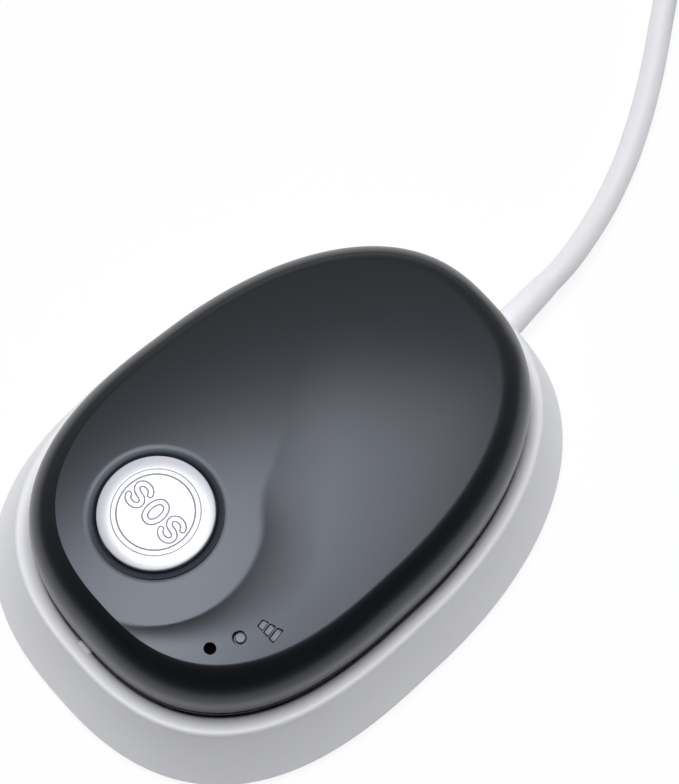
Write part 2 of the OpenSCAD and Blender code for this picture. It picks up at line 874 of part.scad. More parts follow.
module dock_base() {
    color("#dcdde1")
        difference() {
            union() {
                plate(-dock_flare + dock_wall + 2 * loose, base_z, base_t);
                on_points(posts_at, base_top - cut)
                    cylinder(d = post_d, h = post_h + cut);
            }
            on_points(dock_screws_at, base_z - cut) {
                cylinder(d = dock_head_d + 2 * loose, h = cut + dock_head_h + dock_head_sink);
                cylinder(d = dock_screw_d + 2 * loose, h = base_t + 2 * cut);
            }
            on_points(feet_at, base_z - cut)
                cylinder(d = foot_d + 2 * bonded, h = foot_sink + cut);
            box([2 * (boot_flange_r + notch_side), notch_l, base_t + 2 * cut],
                [boot_x, boot_root_y - boot_neck_l, base_z - cut]);
        }
}

module dock_screws() {
    head_top = base_z + dock_head_h + dock_head_sink;
    color("#a5a8ad")
        on_points(dock_screws_at, head_top) {
            translate([0, 0, -dock_head_h])
                cylinder(d = dock_head_d, h = dock_head_h);
            cylinder(d = dock_screw_d, h = base_top - head_top + dock_screw_l - dock_screw_spare);
        }
}

module rubber_feet() {
    color("#55585c")
        on_points(feet_at, 0)
            cylinder(d = foot_d, h = foot_h + foot_sink);
}

module dock_board() {
    color("#1f6b43")
        box([dock_board_w, dock_board_l, board_t], [0, dock_board_y, dock_board_z]);
}

module charge_chip() {
    color("#18191b")
        box(chip_size, [0, dock_board_y + dock_board_l / 4, dock_board_top]);
}

module contact_block() {
    color("#2a2b2e")
        difference() {
            box([block_size[0], block_size[1], block_top - dock_board_top], [0, 0, dock_board_top]);
            for (x = pin_xs)
                translate([x, 0, dock_board_top - cut])
                    cylinder(d = pin_d + 2 * (running + barrel_wall + bonded), h = block_top);
        }
}

module pin_barrels() {
    color("#c9a24a")
        for (x = pin_xs)
            translate([x, 0, dock_board_top])
                difference() {
                    cylinder(d = pin_d + 2 * (running + barrel_wall), h = block_top - dock_board_top);
                    translate([0, 0, barrel_floor])
                        cylinder(d = pin_d + 2 * running, h = block_top);
                }
}

module contact_pin(i) {
    color("#e0bd62")
        translate([pin_xs[i], 0, pin_tip_z - pin_l])
            rotate_extrude()
                polygon([
                    [0, 0], [pin_d / 2, 0], [pin_d / 2, pin_l - tip_h], [tip_d / 2, pin_l], [0, pin_l]
                ]);
}

module dock_magnets() {
    color("#8b8f94")
        for (y = [-magnet_y, magnet_y])
            translate([0, y, bowl_under])
                cylinder(d = magnet_d, h = magnet_t - bonded);
}

// The conductors start at the inner end of the strain relief
wires_y = boot_root_y - boot_neck_l - boot_flange_t - loose;

module dock_wires() {
    wires_end = dock_board_y + dock_board_l / 2 - wires_over;
    color("#b23b34")
        for (i = [0:3])
            translate([boot_x + (i - 1.5) * wire_pitch, wires_y, dock_board_top + wire_d / 2])
                rotate([90, 0, 0])
                    cylinder(d = wire_d, h = wires_y - wires_end);
}

// Strain relief: a flange inside the wall, a neck through it and a tapered boot outside
module strain_relief() {
    inner = -boot_neck_l - boot_flange_t;
    color("#e4e5ea")
        on_boot()
            rotate_extrude()
                polygon([
                    [0, inner], [boot_flange_r, inner], [boot_flange_r, -boot_neck_l],
                    [boot_neck_r, -boot_neck_l], [boot_neck_r, 0], [boot_r, 0],
                    [boot_r, boot_root_l], [boot_tip_r, boot_l], [0, boot_l]
                ]);
}

// Lead

boot_end = [boot_x, boot_root_y, boot_z] + boot_l * boot_dir;

// The coil spirals in and out by turns and climbs a layer in the half turn round each reversal
function coil_radius(s) =
    let (layer = floor(min(s, coil_steps - 0.01) / layer_steps))
    let (v = s / layer_steps - layer)
    coil_r + coil_build * (layer % 2 == 0 ? 0.5 - v : v - 0.5);
function coil_climb(s, j) = smooth((s - j * layer_steps) * coil_step / 180 + 0.5);
function coil_level(s) =
    coil_z + coil_pitch * (coil_climb(s, 1) + coil_climb(s, 2) + coil_climb(s, 3));
function coil_angle(s) = coil_start - s * coil_step;
function coil_point(s) = [
    coil_at[0] + coil_radius(s) * cos(coil_angle(s)),
    coil_at[1] + coil_radius(s) * sin(coil_angle(s)),
    coil_level(s)
];
function coil_heading(s) = [sin(coil_angle(s)), -cos(coil_angle(s)), 0];
coil_in = coil_point(0) - lead_d * coil_heading(0);
coil_out = coil_point(coil_steps) + lead_d * coil_heading(coil_steps);
coil_path = concat([coil_in], [for (s = [0:coil_steps]) coil_point(s)], [coil_out]);
// Least gap between one turn and the rest, on the centreline's points
coil_gap = min([
    for (i = [0:2:coil_steps - 13], j = [i + 12:1:coil_steps])
        norm(coil_point(i) - coil_point(j))
]) - lead_d;
echo(coil_gap = coil_gap);

module cable_lead() {
    color("#dfe0e6")
        tube(concat([boot_end, boot_end + lead_straight * boot_dir], lead_route,
            [coil_in - lead_straight * coil_heading(0), coil_in]), lead_d, 8);
}

module cable_coil() {
    color("#dfe0e6")
        tube(coil_path, lead_d, 6);
}

plug_in = plug_at + [0, plug_neck_l, 0];

module cable_tail() {
    color("#dfe0e6")
        tube(concat([coil_out, coil_out + lead_straight * coil_heading(coil_steps)], tail_route,
            [plug_in + [0, lead_straight, 0], plug_in]), lead_d, 8);
}

// The tie goes round all the turns on the side towards the dock
module cable_tie() {
    r_in = coil_r - coil_build / 2 - lead_d / 2 - tie_gap;
    r_out = coil_r + coil_build / 2 + lead_d / 2 + tie_gap;
    top = coil_z + coil_pitch * (coil_layers - 1) + lead_d / 2 + tie_gap;
    color("#cfd1d6")
        translate([coil_at[0] - tie_w / 2, coil_at[1], 0])
            rotate([90, 0, 90])
                linear_extrude(tie_w)
                    difference() {
                        translate([-r_out - tie_t, 0])
                            square([r_out - r_in + 2 * tie_t, top + tie_t]);
                        translate([-r_out, tie_t])
                            square([r_out - r_in, top - tie_t]);
                    }
}

module grip_outline() {
    square([plug_w - 2 * plug_round, plug_h], center = true);
    square([plug_w, plug_h - 2 * plug_round], center = true);
    for (x = [-1, 1], y = [-1, 1])
        translate([x * (plug_w / 2 - plug_round), y * (plug_h / 2 - plug_round)])
            circle(plug_round);
}

module plug_grip() {
    neck_r = plug_h / 2 - plug_neck_in;
    color("#e6e7ec")
        translate(plug_at)
            rotate([90, 0, 0])
                union() {
                    difference() {
                        linear_extrude(plug_l)
                            grip_outline();
                        translate([0, 0, plug_l - shell_sunk])
                            linear_extrude(shell_sunk + cut)
                                square([shell_w + 2 * bonded, shell_h + 2 * bonded], center = true);
                    }
                    translate([0, 0, -plug_neck_l])
                        cylinder(r1 = lead_d / 2 + plug_neck_wall, r2 = neck_r, h = plug_neck_l);
                }
}

module plug_shell() {
    color("#c2c6cb")
        translate(plug_at)
            rotate([90, 0, 0])
                translate([0, 0, plug_l - shell_sunk])
                    linear_extrude(shell_l + shell_sunk)
                        difference() {
                            square([shell_w, shell_h], center = true);
                            square([shell_w - 2 * shell_t, shell_h - 2 * shell_t], center = true);
                        }
}

tongue_y = -(shell_h / 2 - shell_t) + tongue_t / 2;

module plug_tongue() {
    color("#f0f1f3")
        translate(plug_at)
            rotate([90, 0, 0])
                translate([0, tongue_y, plug_l - shell_sunk])
                    linear_extrude(shell_l + shell_sunk - tongue_back)
                        square([tongue_w, tongue_t], center = true);
}

module plug_contacts() {
    color("#d6b35a")
        translate(plug_at)
            rotate([90, 0, 0])
                for (i = [0:3])
                    translate([(i - 1.5) * contact_pitch, tongue_y + tongue_t / 2 + contact_t / 2, plug_l])
                        linear_extrude(shell_l - contact_back)
                            square([contact_w, contact_t], center = true);
}

top_cover();
bottom_cover();
cover_gasket();
main_board();
board_screws();
battery();
speaker();
vibration_motor();
gps_antenna();
cellular_module();
sim_holder();
tact_switch();
microphone();
mic_boot();
status_leds();
light_pipe();
signal_window();
charge_contacts();
keeper_discs();
button_seal();
sos_button();
switch_plunger();
dock_shell();
dock_base();
dock_screws();
rubber_feet();
dock_board();
charge_chip();
contact_block();
pin_barrels();
contact_pin(0);  // contact_pin_1
contact_pin(1);  // contact_pin_2
contact_pin(2);  // contact_pin_3
contact_pin(3);  // contact_pin_4
dock_magnets();
dock_wires();
strain_relief();
cable_lead();
cable_coil();
cable_tail();
cable_tie();
plug_grip();
plug_shell();
plug_tongue();
plug_contacts();
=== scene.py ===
import math

import bpy
import numpy as np
from mathutils import Matrix


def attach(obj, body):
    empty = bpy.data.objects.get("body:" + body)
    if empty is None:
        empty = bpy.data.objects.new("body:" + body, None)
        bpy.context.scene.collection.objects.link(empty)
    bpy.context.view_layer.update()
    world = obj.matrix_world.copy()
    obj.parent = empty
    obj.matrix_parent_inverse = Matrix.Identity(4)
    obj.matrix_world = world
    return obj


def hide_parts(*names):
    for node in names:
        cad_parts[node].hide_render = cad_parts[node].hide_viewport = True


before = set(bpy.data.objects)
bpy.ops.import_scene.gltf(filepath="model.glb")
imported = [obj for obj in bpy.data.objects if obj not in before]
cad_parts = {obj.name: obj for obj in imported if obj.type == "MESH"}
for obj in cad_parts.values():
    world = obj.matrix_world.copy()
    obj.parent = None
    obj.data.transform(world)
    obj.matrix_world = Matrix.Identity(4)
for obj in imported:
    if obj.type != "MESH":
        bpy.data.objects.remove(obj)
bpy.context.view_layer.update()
print("frame loaded,", len(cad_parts), "nodes")

mm = 0.001  # lengths below are millimetres until a mesh, a lamp or a shader takes them


def addObject(name, data, axes=None, at=None):
    # an object in the scene, turned and placed where axes and a place in millimetres are given
    thing = bpy.data.objects.new(name, data)
    bpy.context.scene.collection.objects.link(thing)
    if axes is not None:
        place = np.eye(4)
        place[:3, :3] = axes
        place[:3, 3] = at * mm
        thing.matrix_world = Matrix(place.tolist())
    return thing


# Camera: the photograph's angle, and the pixel where the origin falls in its frame

photoView = {
    "azimuth": 48.81, "elevation": 71.34,  # degrees
    "distance": 350.0,  # from the origin
    "pixelsPerMm": 8.45,  # at the origin
    "originPixel": (289.3, 508.1),
    "frame": (679, 784),
    "sensorHigh": 24.0,
    "clip": (0.01, 10.0),  # metres
}


def placeCamera(view):
    # the camera stands on the line of sight and is then turned so that the origin falls on its pixel
    az, el = math.radians(view["azimuth"]), math.radians(view["elevation"])
    right = np.array([math.cos(az), math.sin(az), 0])
    back = np.array([math.sin(az) * math.cos(el), -math.cos(az) * math.cos(el), math.sin(el)])
    up = np.cross(back, right)
    wide, high = view["frame"]
    focal = view["pixelsPerMm"] * view["distance"]
    ax = math.atan((view["originPixel"][0] - wide / 2) / focal)
    ay = math.atan((high / 2 - view["originPixel"][1]) / focal)
    pan = np.array([[math.cos(ax), 0, -math.sin(ax)], [0, 1, 0], [math.sin(ax), 0, math.cos(ax)]])
    tilt = np.array([[1, 0, 0], [0, math.cos(ay), -math.sin(ay)], [0, math.sin(ay), math.cos(ay)]])
    axes = np.column_stack([right, up, back]) @ (tilt @ pan).T
    camera = bpy.data.cameras.new("photoCamera")
    camera.sensor_fit = "VERTICAL"
    camera.sensor_height = view["sensorHigh"]
    camera.lens = focal / high * camera.sensor_height
    camera.clip_start, camera.clip_end = view["clip"]
    bpy.context.scene.camera = addObject("photoCamera", camera, axes, back * view["distance"])


placeCamera(photoView)
print("camera placed")


# Meshes from grids of points: the first index goes round a piece and closes, the second runs along it;
# in the dictionaries below, sides and spokes are counts of points round a piece, and rows are counts along it

def gridFaces(points, closed, base):
    # quads between neighbouring points of a grid
    sides, rows = points.shape[:2]
    i, j = np.meshgrid(np.arange(sides), np.arange(rows if closed else rows - 1), indexing="ij")
    iNext, jNext = (i + 1) % sides, (j + 1) % rows
    corners = np.stack([i * rows + j, iNext * rows + j, iNext * rows + jNext, i * rows + jNext], axis=-1)
    return base + corners.reshape(-1, 4)


def capFaces(points, row, base, centre):
    # triangles from one end ring of a grid to a point at its centre
    sides, rows = points.shape[:2]
    ring = base + np.arange(sides) * rows + row
    return np.stack([ring, np.full(sides, centre), np.roll(ring, -1)], axis=-1)


def joinGrids(grids):
    # points, quads and triangles of grids, each given with whether its rows close and its ends are capped;
    # a grid's faces are turned outwards by the sign of the volume they hold
    allPoints, quads, tris, base = [], [], [], 0
    for points, closed, capped in grids:
        flat = points.reshape(-1, 3)
        ownQuads = gridFaces(points, closed, base)
        ownTris = np.zeros((0, 3), int)
        used = len(flat)
        if capped:
            flat = np.vstack([flat, points[:, 0].mean(axis=0), points[:, -1].mean(axis=0)])
            last = points.shape[1] - 1
            ownTris = np.vstack([capFaces(points, 0, base, base + used),
                                 capFaces(points, last, base, base + used + 1)[:, ::-1]])
        split = np.vstack([ownQuads[:, [0, 1, 2]], ownQuads[:, [0, 2, 3]], ownTris]) - base
        a, b, c = flat[split[:, 0]], flat[split[:, 1]], flat[split[:, 2]]
        if np.einsum("ij,ij->i", a, np.cross(b, c)).sum() < 0:
            ownQuads, ownTris = ownQuads[:, ::-1], ownTris[:, ::-1]
        allPoints.append(flat)
        quads.append(ownQuads)
        tris.append(ownTris)
        base += len(flat)
    return np.vstack(allPoints), np.vstack(quads), np.vstack(tris)


def surface(name, grids, sharp=35, marks=None):
    # one closed mesh out of grids; sharp is an angle in degrees, and marks are named values for each point
    points, quads, tris = joinGrids(grids)
    mesh = bpy.data.meshes.new(name)
    mesh.vertices.add(len(points))
    mesh.vertices.foreach_set("co", (points * mm).astype(np.float32).ravel())
    loops = np.concatenate([quads.ravel(), tris.ravel()]).astype(np.int32)
    starts = np.concatenate([np.arange(len(quads)) * 4, len(quads) * 4 + np.arange(len(tris)) * 3])
    mesh.loops.add(len(loops))
    mesh.loops.foreach_set("vertex_index", loops)
    mesh.polygons.add(len(starts))
    mesh.polygons.foreach_set("loop_start", starts.astype(np.int32))
    mesh.polygons.foreach_set("use_smooth", np.ones(len(starts), bool))
    mesh.update(calc_edges=True)
    mesh.validate()
    for key, values in (marks or {}).items():
        layer = mesh.attributes.new(key, "FLOAT", "POINT")
        padded = np.zeros(len(mesh.vertices), np.float32)
        padded[:values.size] = values.ravel()
        layer.data.foreach_set("value", padded)
    mesh.set_sharp_from_angle(angle=math.radians(sharp))
    return addObject(name, mesh)


def dress(piece, material, body, slot, *nodes):
    # material and body of a new piece, and the solids that it stands for; its record slot is not used
    piece.data.materials.append(material)
    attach(piece, body)
    if nodes:
        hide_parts(*nodes)


straightUp = (0, 0, 1)


def fullTurn(count):
    # even angles all the way round, without the first one again
    return np.linspace(0, 2 * np.pi, count, endpoint=False)


def heading(angle):
    # cosine and sine: directions in plan
    return np.stack([np.cos(angle), np.sin(angle)], axis=-1)


def unit(v):
    # vectors divided by their lengths
    return v / np.linalg.norm(v, axis=-1, keepdims=True)


def squared(values, power):
    # sines or cosines raised to a power with their signs kept; the smaller it is, the squarer a circle gets
    return np.sign(values) * np.abs(values) ** power


def smoothStep(v):
    # three squares less two cubes, from 0 to 1 with level ends
    t = np.clip(v, 0, 1)
    return t * t * (3 - 2 * t)


def atHeight(xy, z):
    # points of a plan, each at its height
    return np.concatenate([xy, np.broadcast_to(z, xy.shape[:-1])[..., None]], axis=-1)


def between(start, end, shares):
    # points at given shares of the way from one outline to another
    return start[:, None] + np.asarray(shares)[None, :, None] * (end - start)[:, None]


def squareTo(axis):
    # two directions square to an axis and to each other, by cross products; an axis near y starts from z
    side = unit(np.cross([0, 1, 0] if abs(axis[1]) < 0.9 else [0, 0, 1], axis))
    return side, np.cross(axis, side)


def turned(profile, centre, axis, count):
    # a profile of (radius, height) pairs carried round an axis through centre
    profile = np.asarray(profile, float)
    axis = unit(np.asarray(axis, float))
    side, other = squareTo(axis)
    angle = fullTurn(count)[:, None, None]
    ringDir = np.cos(angle) * side + np.sin(angle) * other
    return np.asarray(centre) + profile[None, :, :1] * ringDir + profile[None, :, 1:] * axis


def rounded(start, corner, end, steps):
    # points of a quadratic curve from start to end that is drawn towards corner
    t = np.linspace(0, 1, steps)[:, None]
    start, corner, end = (np.asarray(p, float) for p in (start, corner, end))
    return (1 - t) ** 2 * start + 2 * t * (1 - t) * corner + t ** 2 * end


def softPolygon(points, radius, steps=4):
    # a profile of corner points with its inner corners rounded, over less than half of each side
    points = np.asarray(points, float)
    most = 0.45
    out = [points[:1]]
    for before, here, after in zip(points[:-2], points[1:-1], points[2:]):
        sides = before - here, after - here
        start, end = (here + unit(side) * min(radius, np.linalg.norm(side) * most) for side in sides)
        out.append(rounded(start, here, end, steps))
    out.append(points[-1:])
    return np.vstack(out)


# Materials

def linearColour(hexText):
    # sRGB hex to the linear values that shaders take
    srgb = np.array([int(hexText[i:i + 2], 16) for i in (1, 3, 5)]) / 255
    linear = np.where(srgb <= 0.04045, srgb / 12.92, ((srgb + 0.055) / 1.055) ** 2.4)
    return (*linear.tolist(), 1.0)


def addNode(tree, kind, settings=None, links=None):
    # a node with its settings; links names each input with the node and output that feed it
    node = tree.nodes.new("ShaderNode" + kind)
    for key, value in (settings or {}).items():
        if isinstance(key, int) or key in node.inputs:
            node.inputs[key].default_value = value
        else:
            setattr(node, key, value)
    for key, (source, output) in (links or {}).items():
        tree.links.new(source.outputs[output], node.inputs[key])
    return node


def newMaterial(name):
    # a material with an empty tree
    material = bpy.data.materials.new(name)
    material.use_nodes = True
    tree = material.node_tree
    tree.nodes.clear()
    return material, tree


colourA, colourB, colourOut = 6, 7, 2  # the mix node's colour sockets by number, because their names repeat
noiseLow, noiseHigh = 0.3, 0.7  # nearly all of a noise lies between these


def finishShader(tree, finish, colour, grain):
    # a grain sets the gloss and a shallow bump; 1.5 is the shader's own IOR, which the metals keep
    low, high = finish["roughness"]
    strength, height = finish["bump"]
    gloss = addNode(tree, "MapRange",
                    {"From Min": noiseLow, "From Max": noiseHigh, "To Min": low, "To Max": high},
                    {"Value": (grain, 0)})
    bump = addNode(tree, "Bump", {"Strength": strength, "Distance": height * mm}, {"Height": (grain, 0)})
    shader = addNode(tree, "BsdfPrincipled",
                     {"Metallic": finish.get("metallic", 0.0), "IOR": finish.get("ior", 1.5),
                      "Specular Tint": linearColour(finish.get("shine", "#ffffff"))},
                     {"Base Color": (colour, colourOut), "Roughness": (gloss, "Result"),
                      "Normal": (bump, "Normal")})
    addNode(tree, "OutputMaterial", None, {"Surface": (shader, "BSDF")})


def mouldedFinish(name, finish):
    # a moulded, plated or painted surface: two close colours in slow clouds, and a fine grain; cloud, grain
    # and the bump's height are in millimetres, and most grains are coarser than real ones so that they show
    material, tree = newMaterial(name)
    coords = addNode(tree, "TexCoord")
    noises = (("cloud", 3.0), ("grain", 2.0))  # with the detail of each
    cloud, grain = (addNode(tree, "TexNoise", {"Scale": 1 / (finish[key] * mm), "Detail": detail},
                            {"Vector": (coords, "Object")}) for key, detail in noises)
    first, second = (linearColour(hexText) for hexText in finish["colours"])
    colour = addNode(tree, "Mix", {"data_type": "RGBA", colourA: first, colourB: second},
                     {0: (cloud, 0)})
    finishShader(tree, finish, colour, grain)
    return material


# satin lacquer sprayed on moulded ABS: near black, with a soft broad reflection, a little blue
charcoalLacquer = mouldedFinish("charcoalLacquerOnAbs", {
    "colours": ("#101114", "#121316"), "cloud": 9, "grain": 0.3, "roughness": (0.285, 0.295),
    "bump": (0.002, 0.002), "shine": "#e9f0ff"})
# moulded ABS of the speaker, the switch, the chip and the contact block: black with a plain soft gloss
blackAbs = mouldedFinish("blackMouldedAbs", {
    "colours": ("#17181b", "#1b1c20"), "cloud": 7, "grain": 0.2, "roughness": (0.24, 0.30),
    "bump": (0.04, 0.01)})
# ABS moulded in a finely spark-eroded tool: white, with its reflections spread by the grain
whiteAbs = mouldedFinish("whiteMouldedAbs", {
    "colours": ("#ebecf2", "#eeeff4"), "cloud": 12, "grain": 0.2, "roughness": (0.36, 0.44),
    "bump": (0.06, 0.012)})
# moulded silicone rubber: dark slate with a faint even bloom
slateSilicone = mouldedFinish("slateSilicone", {
    "colours": ("#23292f", "#272d34"), "cloud": 3, "grain": 0.12, "roughness": (0.3, 0.36),
    "bump": (0.03, 0.006), "ior": 1.43, "shine": "#e9f0ff"})
# woven acoustic mesh, near black with next to no shine: its black is partly painted shade of the deep hole
meshPaintedShade = mouldedFinish("acousticMeshPaintedShade", {
    "colours": ("#050506", "#080809"), "cloud": 0.5, "grain": 0.08, "roughness": (0.85, 0.95),
    "bump": (0.2, 0.02), "ior": 1.1})
# moulded nitrile rubber of the gasket and the microphone's boot: matt black
blackRubber = mouldedFinish("blackNitrileRubber", {
    "colours": ("#0f1011", "#141516"), "cloud": 2, "grain": 0.1, "roughness": (0.6, 0.75),
    "bump": (0.1, 0.01)})
# moulded rubber of the feet and the tie: matt mid grey
greyRubber = mouldedFinish("greyRubber", {
    "colours": ("#55585c", "#5e6165"), "cloud": 2, "grain": 0.15, "roughness": (0.6, 0.75),
    "bump": (0.12, 0.015)})
# soft PVC drawn over the lead and moulded on its ends: white and a little waxy
whitePvc = mouldedFinish("whitePvcJacket", {
    "colours": ("#e9e9ee", "#ececf0"), "cloud": 6, "grain": 0.18, "roughness": (0.38, 0.46),
    "bump": (0.06, 0.012), "ior": 1.53})
# satin nickel plated on steel: pale grey metal with blurred reflections
nickelSteel = mouldedFinish("nickelPlatedSteel", {
    "colours": ("#c4c6ca", "#cccdd1"), "cloud": 2, "grain": 0.3, "roughness": (0.32, 0.38),
    "bump": (0.01, 0.003), "metallic": 0.85})
# gold plated on brass contacts: bright warm metal
goldPlate = mouldedFinish("goldPlatedBrass", {
    "colours": ("#d9b45c", "#e0bd68"), "cloud": 1, "grain": 0.06, "roughness": (0.18, 0.26),
    "bump": (0.02, 0.004), "metallic": 1.0})
# aluminium foil of the cell's pouch: pale metal, slightly crumpled
foilPouch = mouldedFinish("aluminiumPouchFoil", {
    "colours": ("#bfc2c7", "#c8cbd0"), "cloud": 3, "grain": 0.4, "roughness": (0.3, 0.42),
    "bump": (0.15, 0.03), "metallic": 1.0})
# green lacquer printed on glass-fibre board: half gloss, a little uneven over the weave below
solderMask = mouldedFinish("greenSolderMask", {
    "colours": ("#1a5c3a", "#1f6642"), "cloud": 2, "grain": 0.2, "roughness": (0.3, 0.4),
    "bump": (0.1, 0.02)})
# fired ceramic of the patch antenna: cream and nearly matt
patchCeramic = mouldedFinish("patchCeramic", {
    "colours": ("#cfc5a4", "#d6cdae"), "cloud": 2, "grain": 0.15, "roughness": (0.5, 0.6),
    "bump": (0.08, 0.01)})
# natural moulded nylon of the plunger and the plug's tongue: ivory with a dull shine
ivoryNylon = mouldedFinish("ivoryNylon", {
    "colours": ("#e3ddcd", "#e8e3d5"), "cloud": 2, "grain": 0.15, "roughness": (0.45, 0.55),
    "bump": (0.06, 0.01)})
# PVC drawn over the dock's wires: red and a little waxy
redInsulation = mouldedFinish("redWireInsulation", {
    "colours": ("#a8322c", "#b03933"), "cloud": 2, "grain": 0.15, "roughness": (0.4, 0.5),
    "bump": (0.06, 0.01)})
# smoky moulded polycarbonate of the light guides: grey while unlit, a shade lighter than the lacquer
smokyLens = mouldedFinish("smokyPolycarbonate", {
    "colours": ("#54575d", "#5b5e64"), "cloud": 1.2, "grain": 0.1, "roughness": (0.26, 0.32),
    "bump": (0.02, 0.004), "shine": "#e9f0ff"})


def engravedFinish(name, finish):
    # a painted surface with a second, darker colour in its engraved lines, by the piece's own groove value
    material, tree = newMaterial(name)
    coords = addNode(tree, "TexCoord")
    grain = addNode(tree, "TexNoise", {"Scale": 1 / (finish["grain"] * mm), "Detail": 2.0},
                    {"Vector": (coords, "Object")})
    groove = addNode(tree, "Attribute", {"attribute_name": "groove"})
    first, second = (linearColour(hexText) for hexText in finish["colours"])
    colour = addNode(tree, "Mix", {"data_type": "RGBA", colourA: first, colourB: second},
                     {0: (groove, "Fac")})
    finishShader(tree, finish, colour, grain)
    return material


# silver lacquer sprayed on the cap: a pale, broad metal sheen; its flakes are drawn larger than real ones
silverLacquer = engravedFinish("silverLacquer", {
    "colours": ("#d6d7df", "#74767d"), "grain": 0.08, "roughness": (0.38, 0.42),
    "bump": (0.02, 0.003), "metallic": 0.45})
print("materials made")


# Shapes shared by the pendant and the dock, as in the part's source

body = {
    "long": 61.0, "wide": 42.7, "taper": 0.11, "power": 2.46,
    "seatZ": 5.35, "bellyHigh": 9.8, "bellyIn": 9.0, "bellyPower": 0.77,
    "partingZ": 12.15, "shoulderHigh": 5.9, "shoulderIn": 3.0, "shoulderRound": 0.92,
    "crown": 1.4, "wall": 1.5,
    "buttonAt": (-3.7, -16.3),
    "crestOff": (0.1, -0.7),  # middle of the crest's round, from the button
    "crestR": 12.1, "crestSlope": 0.2, "crestRound": 0.06, "crestBlend": 4.5,
    "crestLeave": 58.2, "crestHead": 123.0,  # degrees: where its straight part starts, and the way it runs
    "slopeNear": 2.2, "slopeFar": 7.0, "slopeGrow": (-29.0, -7.0), "scoopFade": (-13.0, 24.0),
}
widestZ = body["seatZ"] + body["bellyHigh"]
edgeZ = widestZ + body["shoulderHigh"]
faceHalf = np.array([body["wide"], body["long"]]) / 2 - body["shoulderIn"]
buttonAt = np.array(body["buttonAt"])


def egg(angle, inset):
    # a squared ellipse, wider towards one end, set in from the widest outline
    power = 2 / body["power"]
    c, s = np.cos(angle), np.sin(angle)
    x = (body["wide"] / 2 - inset) * squared(c, power) * (1 - body["taper"] * s)
    y = (body["long"] / 2 - inset) * squared(s, power)
    return np.stack(np.broadcast_arrays(x, y), axis=-1)


def quarterInset(depth):
    # a squared quarter curve, from depth 0 at the widest level to 1 at the flat bottom
    power = body["bellyPower"]
    return body["bellyIn"] * (1 - (1 - depth ** (2 / power)) ** (power / 2))


def bellyInset(z):
    # the quarter curve at a height of the pendant
    return quarterInset(np.clip((widestZ - z) / body["bellyHigh"], 0, 1))


def shoulderInset(u):
    # part of a quarter ellipse, from 0 at the widest level to 1 at the face's edge
    k = body["shoulderRound"]
    return body["shoulderIn"] * (1 - np.sqrt(1 - (k * u) ** 2)) / (1 - math.sqrt(1 - k * k))


crestAt = buttonAt + body["crestOff"]
crestEnd = crestAt + body["crestR"] * heading(math.radians(body["crestLeave"]))
crestAlong = heading(math.radians(body["crestHead"]))
crestOut = np.array([crestAlong[1], -crestAlong[0]])


def topZ(p):
    # a dome less the scoop; the scoop starts at a crest that circles the button and runs on as a line,
    # falls at a set slope that eases to nothing over its width, and fades out along the line
    rel = p - crestEnd
    along = rel @ crestAlong
    k = smoothStep(along / (2 * body["crestBlend"]) + 0.5)
    out = (np.linalg.norm(p - crestAt, axis=-1) - body["crestR"]) * (1 - k) + rel @ crestOut * k
    near, far = body["slopeGrow"]
    grown = smoothStep((p[..., 1] - near) / (far - near))
    width = body["slopeNear"] + (body["slopeFar"] - body["slopeNear"]) * grown
    f, q = np.clip(out / width, 0, 1), body["crestRound"]
    fall = np.where(f < q, f * f / q, 1 - (1 - f) ** 2 / (1 - q))
    near, far = body["scoopFade"]
    fade = 1 - smoothStep((along - near) / (far - near))
    dome = edgeZ + body["crown"] * (1 - ((p / faceHalf) ** 2).sum(axis=-1))
    return dome - body["crestSlope"] * width / 2 * fall * fade


buttonSlope = -2 * body["crown"] * buttonAt / faceHalf ** 2
buttonAxis = unit(np.array([-buttonSlope[0], -buttonSlope[1], 1]))
buttonSide, buttonOther = squareTo(buttonAxis)
buttonCentre = np.array([*buttonAt, float(topZ(buttonAt))])


# Lead: one cord with its coil, strain relief, tie and plug

lead = {
    "wide": 3.0, "sides": 20, "step": 1.0,
    "straight": 0.8,  # diameters that run straight out of an end
    "bootRoot": (0.6, 33.902, 3.2), "bootYaw": 6.0, "bootLong": 7.8,
    "route": [(-1, 46.6, 2.94), (-1.8, 49.4, 2.5), (-2.72, 52.2, 2.04), (-3.76, 55, 1.7), (-4.95, 57.8, 1.6),
              (-6.38, 60.8, 1.6), (-8.04, 63.8, 1.6), (-9.84, 66.8, 1.6), (-12.1, 70.2, 1.6),
              (-14.7, 73.8, 1.6), (-17.45, 77.4, 1.6), (-20.15, 81, 1.6), (-22.9, 84.8, 1.7),
              (-25.6, 88.6, 1.85)],
    "coilAt": (-14.5, 108.3), "coilR": 16.85, "coilPitch": 3.5, "coilZ": 2.1, "coilStart": 217.0,
    "coilSteps": 202, "coilStep": 15.0, "coilLayers": 4,
    "tail": [(0.3, 124.4, 12.2), (4.2, 122, 11.3), (8, 119, 9.9), (11.2, 115.4, 8.2), (13.7, 111.3, 6.4),
             (15.3, 107.2, 4.7)],
    "plugAt": (16.0, 98.0, 4.0), "plugNeck": 3.0,
}


def coilPoints(s):
    # spirals in and out by turns, and climbs a layer in the half turn round each reversal;
    # the last point is held back by a hair, so that it counts to the last layer
    perLayer = lead["coilSteps"] / lead["coilLayers"]
    build = perLayer * lead["coilStep"] / 360 * lead["coilPitch"]
    layer = np.floor(np.minimum(s, lead["coilSteps"] - 0.01) / perLayer)
    v = s / perLayer - layer
    radius = lead["coilR"] + build * np.where(layer % 2 == 0, 0.5 - v, v - 0.5)
    turns = np.arange(1, lead["coilLayers"])
    climb = smoothStep((s[:, None] - turns * perLayer) * lead["coilStep"] / 180 + 0.5).sum(axis=1)
    angle = np.radians(lead["coilStart"] - s * lead["coilStep"])
    plan = lead["coilAt"] + radius[:, None] * heading(angle)
    return atHeight(plan, lead["coilZ"] + lead["coilPitch"] * climb), angle


